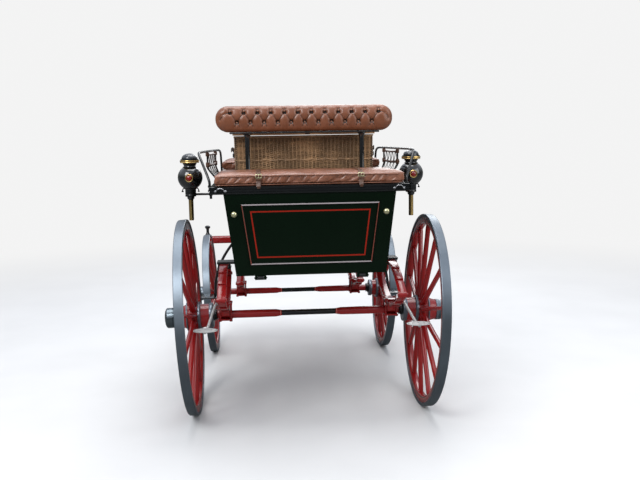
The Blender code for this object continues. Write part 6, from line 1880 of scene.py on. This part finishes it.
def make_splinter_bar():
    """Rounded splinter bar with its eye plates and roller bolts."""
    low, high = 0.750, 0.805
    bar = block("splinter_beam", (-0.7215, SPLINTER_Y - 0.030, low), (0.7215, SPLINTER_Y + 0.030, high), 0.010, 3)
    dress(bar, "gear_red", "fore_carriage", ["splinter_bar"])
    irons = []
    for hand, side in SIDES:
        x = side * 0.690
        bolt = turned("roller_" + hand, [
            (0, 0.086), (0.0110, 0.0855), (0.0180, 0.0820), (0.0210, 0.0770), (0.0210, 0.0700), (0.0185, 0.0660),
            (0.0120, 0.0600), (0.0108, 0.0500), (0.0108, 0.0360), (0.0125, 0.0260), (0.0185, 0.0160),
            (0.0210, 0.0120), (0.0210, 0), (0, 0)], moved(x, SPLINTER_Y, high + GAP), 40)
        dress(bolt, "iron_black", "fore_carriage", ["roller_bolt_" + hand])
        irons.append(nut("nut", moved(x, SPLINTER_Y, low - 0.009), 0.026, 0.009))
        irons.append(under_plate(x, 0.028, 0.024, 0.024, low))
    for x in (-0.34, 0.34):
        ring = turned("eye", [(0.0150, 0.0030), (0.0180, 0), (0.0150, -0.0030), (0.0120, 0)],
                      moved(x, SPLINTER_Y + 0.024, low - 0.008) @ tipped(90, "Y"), 24, ring=True)
        irons += [ring, under_plate(x, 0.018, 0.020, 0.028, low)]
    dress(joined("splinter_irons", irons), "iron_black", "fore_carriage")


def make_gear_bolts():
    """Nuts and washers along the futchells and the bed of the fore carriage."""
    heads = []
    for side in (-1, 1):
        for along in (-0.078, -0.042):
            heads.append(nut("nut", moved(side * 0.142, FRONT_AXLE_Y + along, 0.678), 0.016, 0.006))
        for x in (0.300, FRONT_SPRING_X):
            heads.append(turned("washer", [(0, 0.0035), (0.009, 0.003), (0.0105, 0.001), (0.0105, -0.001),
                                           (0, -0.001)], moved(side * x, FRONT_AXLE_Y, 0.6903), 20))
    dress(joined("gear_bolts", heads), "iron_black", "fore_carriage")


def make_posts():
    """Round posts of the backrest with their flanges, and the board under the roll."""
    y = ahead(0.080)
    base, top = DECK_TOP + GAP, 1.6087
    parts = [block("board", (-0.430, y - 0.030, top - 0.010), (0.430, y + 0.034, top), 0.0040, 3)]
    for side in (-1, 1):
        place = moved(side * 0.330, y, 0)
        under = top - 0.008
        parts.append(turned("post", [
            (0, under), (0.025, under), (0.025, under - 0.004), (0.020, under - 0.008), (0.0150, under - 0.018),
            (0.0135, under - 0.030), (0.0140, (base + top) / 2), (0.0135, base + 0.030), (0.0150, base + 0.020),
            (0.0205, base + 0.010), (0.025, base + 0.005), (0.025, base), (0, base)], place, 40))
    dress(joined("backrest_irons", parts), "lamp_black", "carriage_body", ["bolster_frame"])


# Frame's own solids that stay in view, with the finish of each
CARRIED = {
    "rear_body_bracket_left": "iron_black", "rear_body_bracket_right": "iron_black", "fore_frame": "gear_red",
    "front_transom": "trim_black", "body_floor": "floor_boards", "body_side_left": "coach_green",
    "body_side_right": "coach_green", "boot_front_board": "coach_green", "seat_deck": "trim_black",
    "toe_board": "floor_boards", "dash": "coach_green", "tailboard": "coach_green_lined",
    "tailboard_hinge_left": "iron_black", "tailboard_hinge_right": "iron_black", "front_seat_box": "trim_black",
}


# Stage

BACKDROP = (0.90, 0.90, 0.90, 1)


def make_floor():
    """Pale floor that melts into the backdrop far from the cart and looks dark in reflections."""
    fresh()
    bpy.ops.mesh.primitive_plane_add(size=60)
    floor = added("floor")
    ground = bpy.data.materials.new("pale_floor")
    ground.use_nodes = True
    tree = ground.node_tree
    shader = tree.nodes["Principled BSDF"]
    coords = tree.nodes.new("ShaderNodeTexCoord")
    cloud = put(tree, "TexNoise", {"Vector": coords.outputs["Object"]}, Scale=1.6, Detail=5.0)
    tone = mixed(tree, ranged(tree, cloud.outputs["Fac"], 0.3, 0.7), (0.60, 0.60, 0.595), (0.63, 0.63, 0.625))
    rays = tree.nodes.new("ShaderNodeLightPath")
    tone = mixed(tree, maths(tree, "MULTIPLY", rays.outputs["Is Glossy Ray"], 0.94), tone, (0.10, 0.105, 0.10))
    tree.links.new(tone, shader.inputs["Base Color"])
    shader.inputs["Roughness"].default_value = 0.75
    far = vector_maths(tree, "LENGTH", coords.outputs["Object"])
    fade = maths(tree, "MULTIPLY", ranged(tree, far, 2.0, 7.5), rays.outputs["Is Camera Ray"])
    glow = put(tree, "Emission", Color=BACKDROP, Strength=1.0)
    merge(tree, fade, shader, glow, tree.nodes["Material Output"])
    floor.data.materials.append(ground)


def merge(tree, factor, first, second, out):
    """Mix two shaders by a socket into an output node's surface."""
    blend = tree.nodes.new("ShaderNodeMixShader")
    for socket, source in zip(blend.inputs, (factor, first.outputs[0], second.outputs[0])):
        tree.links.new(source, socket)
    tree.links.new(blend.outputs[0], out.inputs["Surface"])


def make_camera(scene):
    """Camera of the photograph."""
    camera = bpy.data.objects.new("camera", bpy.data.cameras.new("camera"))
    scene.collection.objects.link(camera)
    camera.data.sensor_width = 36
    camera.data.lens = 44.362
    yaw, pitch, roll = math.radians(4.17), math.radians(7.50), math.radians(-0.92)
    look = Vector((math.sin(yaw) * math.cos(pitch), math.cos(yaw) * math.cos(pitch), -math.sin(pitch)))
    level = Vector((math.cos(yaw), -math.sin(yaw), 0))
    up = level.cross(look)
    right = level * math.cos(roll) + up * math.sin(roll)
    top = up * math.cos(roll) - level * math.sin(roll)
    turn = Matrix((right, top, -look)).transposed().to_4x4()
    camera.matrix_world = Matrix.Translation((-0.2549, -5.1254, 1.5797)) @ turn
    scene.camera = camera


def make_world():
    """Soft sky over a dark ground, plain and pale to the camera and through glass."""
    world = bpy.data.worlds.new("studio")
    world.use_nodes = True
    tree = world.node_tree
    tree.nodes.clear()
    out = tree.nodes.new("ShaderNodeOutputWorld")
    rays = tree.nodes.new("ShaderNodeLightPath")
    coords = tree.nodes.new("ShaderNodeTexCoord")
    up = split_up(tree, coords.outputs["Generated"])["Z"]
    sky = mixed(tree, ranged(tree, up, 0.02, 0.55), (0.13, 0.14, 0.13), (0.92, 0.97, 1.08))
    room = put(tree, "Background", {"Color": sky}, Strength=0.85)
    seen = put(tree, "Background", Color=BACKDROP, Strength=1.0)
    clear = maths(tree, "MAXIMUM", rays.outputs["Is Camera Ray"], rays.outputs["Is Transmission Ray"])
    merge(tree, clear, room, seen, out)
    return world


def make_stage():
    """Pale floor and backdrop, soft lamps, and the camera of the photograph."""
    scene = bpy.context.scene
    make_floor()
    make_camera(scene)
    for name, place, height, size, watts in (
            ("key", (-3.4, -4.6, 5.2), 0.8, 3.2, 260), ("fill", (4.6, -3.0, 3.0), 0.8, 3.6, 90),
            ("top", (0.0, 0.4, 6.0), 0.8, 4.0, 210), ("rim", (1.5, 5.4, 4.2), 0.9, 3.0, 110)):
        lamp = bpy.data.objects.new(name, bpy.data.lights.new(name, "AREA"))
        scene.collection.objects.link(lamp)
        lamp.data.size = size
        lamp.data.energy = watts
        lamp.location = place
        lamp.rotation_euler = (Vector((0, 0, height)) - Vector(place)).to_track_quat("-Z", "Y").to_euler()
    scene.world = make_world()
    scene.view_settings.view_transform = "Standard"


# Operators, in the order in which the cart is dressed


class DOGCART_OT_stage(bpy.types.Operator):
    """Add the pale floor, the soft lamps and the camera"""
    bl_idname = "dogcart.stage"
    bl_label = "Stage"

    def execute(self, context):
        make_stage()
        return {"FINISHED"}


class DOGCART_OT_finishes(bpy.types.Operator):
    """Make the materials and paint the solids that stay in view"""
    bl_idname = "dogcart.finishes"
    bl_label = "Finishes"

    def execute(self, context):
        build_finishes()
        for node, finish in CARRIED.items():
            carry(node, finish)
        return {"FINISHED"}


class DOGCART_OT_wheels(bpy.types.Operator):
    """Build the four wheels"""
    bl_idname = "dogcart.wheels"
    bl_label = "Wheels"

    def execute(self, context):
        for hand, side in SIDES:
            make_wheel("rear_" + hand + "_wheel", REAR_WHEEL, side)
            make_wheel("front_" + hand + "_wheel", FRONT_WHEEL, side)
        return {"FINISHED"}


class DOGCART_OT_axles(bpy.types.Operator):
    """Build both axles with their spring clamps"""
    bl_idname = "dogcart.axles"
    bl_label = "Axles"

    def execute(self, context):
        make_axle("rear_axle", REAR_WHEEL, slim=0.155, spring_x=REAR_SPRING_X)
        make_axle("front_axle", FRONT_WHEEL, slim=0.130, spring_x=FRONT_SPRING_X)
        return {"FINISHED"}


class DOGCART_OT_springs(bpy.types.Operator):
    """Build the four elliptic springs"""
    bl_idname = "dogcart.springs"
    bl_label = "Springs"

    def execute(self, context):
        for hand, side in SIDES:
            make_leaves("rear_leaves_" + hand, "rear_spring_" + hand, side * REAR_SPRING_X, REAR_WHEEL,
                        half_length=0.420, top=0.866)
            make_leaves("front_leaves_" + hand, "front_spring_" + hand, side * FRONT_SPRING_X, FRONT_WHEEL,
                        half_length=0.380, top=0.655)
        return {"FINISHED"}


class DOGCART_OT_fore_carriage(bpy.types.Operator):
    """Build the turning rings, the splinter bar and their bolts"""
    bl_idname = "dogcart.fore_carriage"
    bl_label = "Fore carriage"

    def execute(self, context):
        make_turntable()
        make_splinter_bar()
        make_gear_bolts()
        return {"FINISHED"}


class DOGCART_OT_body(bpy.types.Operator):
    """Build the seat rail, the beads and knobs of the tailboard, and the steps"""
    bl_idname = "dogcart.body"
    bl_label = "Body fittings"

    def execute(self, context):
        make_rail()
        make_tail_beads()
        for hand, side in SIDES:
            make_knob(hand, side)
            make_rear_step(hand, side)
            make_front_step(hand, side)
        return {"FINISHED"}


class DOGCART_OT_irons(bpy.types.Operator):
    """Build the side irons, the lamp brackets and the backrest's posts"""
    bl_idname = "dogcart.irons"
    bl_label = "Irons"

    def execute(self, context):
        make_posts()
        for hand, side in SIDES:
            make_side_rail(hand, side)
            make_lamp_bracket(hand, side)
        return {"FINISHED"}


class DOGCART_OT_lamps(bpy.types.Operator):
    """Build both carriage lamps"""
    bl_idname = "dogcart.lamps"
    bl_label = "Lamps"

    def execute(self, context):
        for hand, side in SIDES:
            make_lamp(hand, side)
        return {"FINISHED"}


class DOGCART_OT_hamper(bpy.types.Operator):
    """Weave the hamper and its lid"""
    bl_idname = "dogcart.hamper"
    bl_label = "Hamper"

    def execute(self, context):
        make_hamper_body()
        make_hamper_lid()
        make_hamper_trim()
        return {"FINISHED"}


class DOGCART_OT_backrest(bpy.types.Operator):
    """Build the buttoned backrest"""
    bl_idname = "dogcart.backrest"
    bl_label = "Backrest"

    def execute(self, context):
        make_bolster()
        return {"FINISHED"}


class DOGCART_OT_cushions(bpy.types.Operator):
    """Stuff both seat cushions and strap them down"""
    bl_idname = "dogcart.cushions"
    bl_label = "Cushions"

    def execute(self, context):
        make_cushion("rear_seat_cushion", "rear_cushion", *REAR_CUSHION, crown=0.008, seed=2.0, depth=0.0075)
        make_cushion("front_seat_cushion", "front_cushion", *FRONT_CUSHION, crown=0.012, seed=7.0, depth=0.0070)
        make_straps()
        return {"FINISHED"}


STEPS = (DOGCART_OT_stage, DOGCART_OT_finishes, DOGCART_OT_wheels, DOGCART_OT_axles, DOGCART_OT_springs,
         DOGCART_OT_fore_carriage, DOGCART_OT_body, DOGCART_OT_irons, DOGCART_OT_lamps, DOGCART_OT_hamper,
         DOGCART_OT_backrest, DOGCART_OT_cushions)


class DOGCART_PT_panel(bpy.types.Panel):
    """Steps and settings of the dog cart"""
    bl_label = "Dog Cart"
    bl_idname = "DOGCART_PT_panel"
    bl_space_type = "VIEW_3D"
    bl_region_type = "UI"
    bl_category = "Dog Cart"

    def draw(self, context):
        column = self.layout.column(align=True)
        for step in STEPS:
            column.operator(step.bl_idname)
        for name in DogCartFinish.__annotations__:
            self.layout.prop(context.scene.dog_cart_finish, name)


CLASSES = (DogCartFinish, *STEPS, DOGCART_PT_panel)


def register():
    """Register the classes and the scene's settings."""
    for item in CLASSES:
        bpy.utils.register_class(item)
    bpy.types.Scene.dog_cart_finish = PointerProperty(type=DogCartFinish)


def unregister():
    """Remove the settings and the classes."""
    del bpy.types.Scene.dog_cart_finish
    for item in reversed(CLASSES):
        bpy.utils.unregister_class(item)


def main():
    """Dress the cart."""
    register()
    for step in STEPS:
        family, name = step.bl_idname.split(".")
        getattr(getattr(bpy.ops, family), name)()


if __name__ == "__main__":
    main()
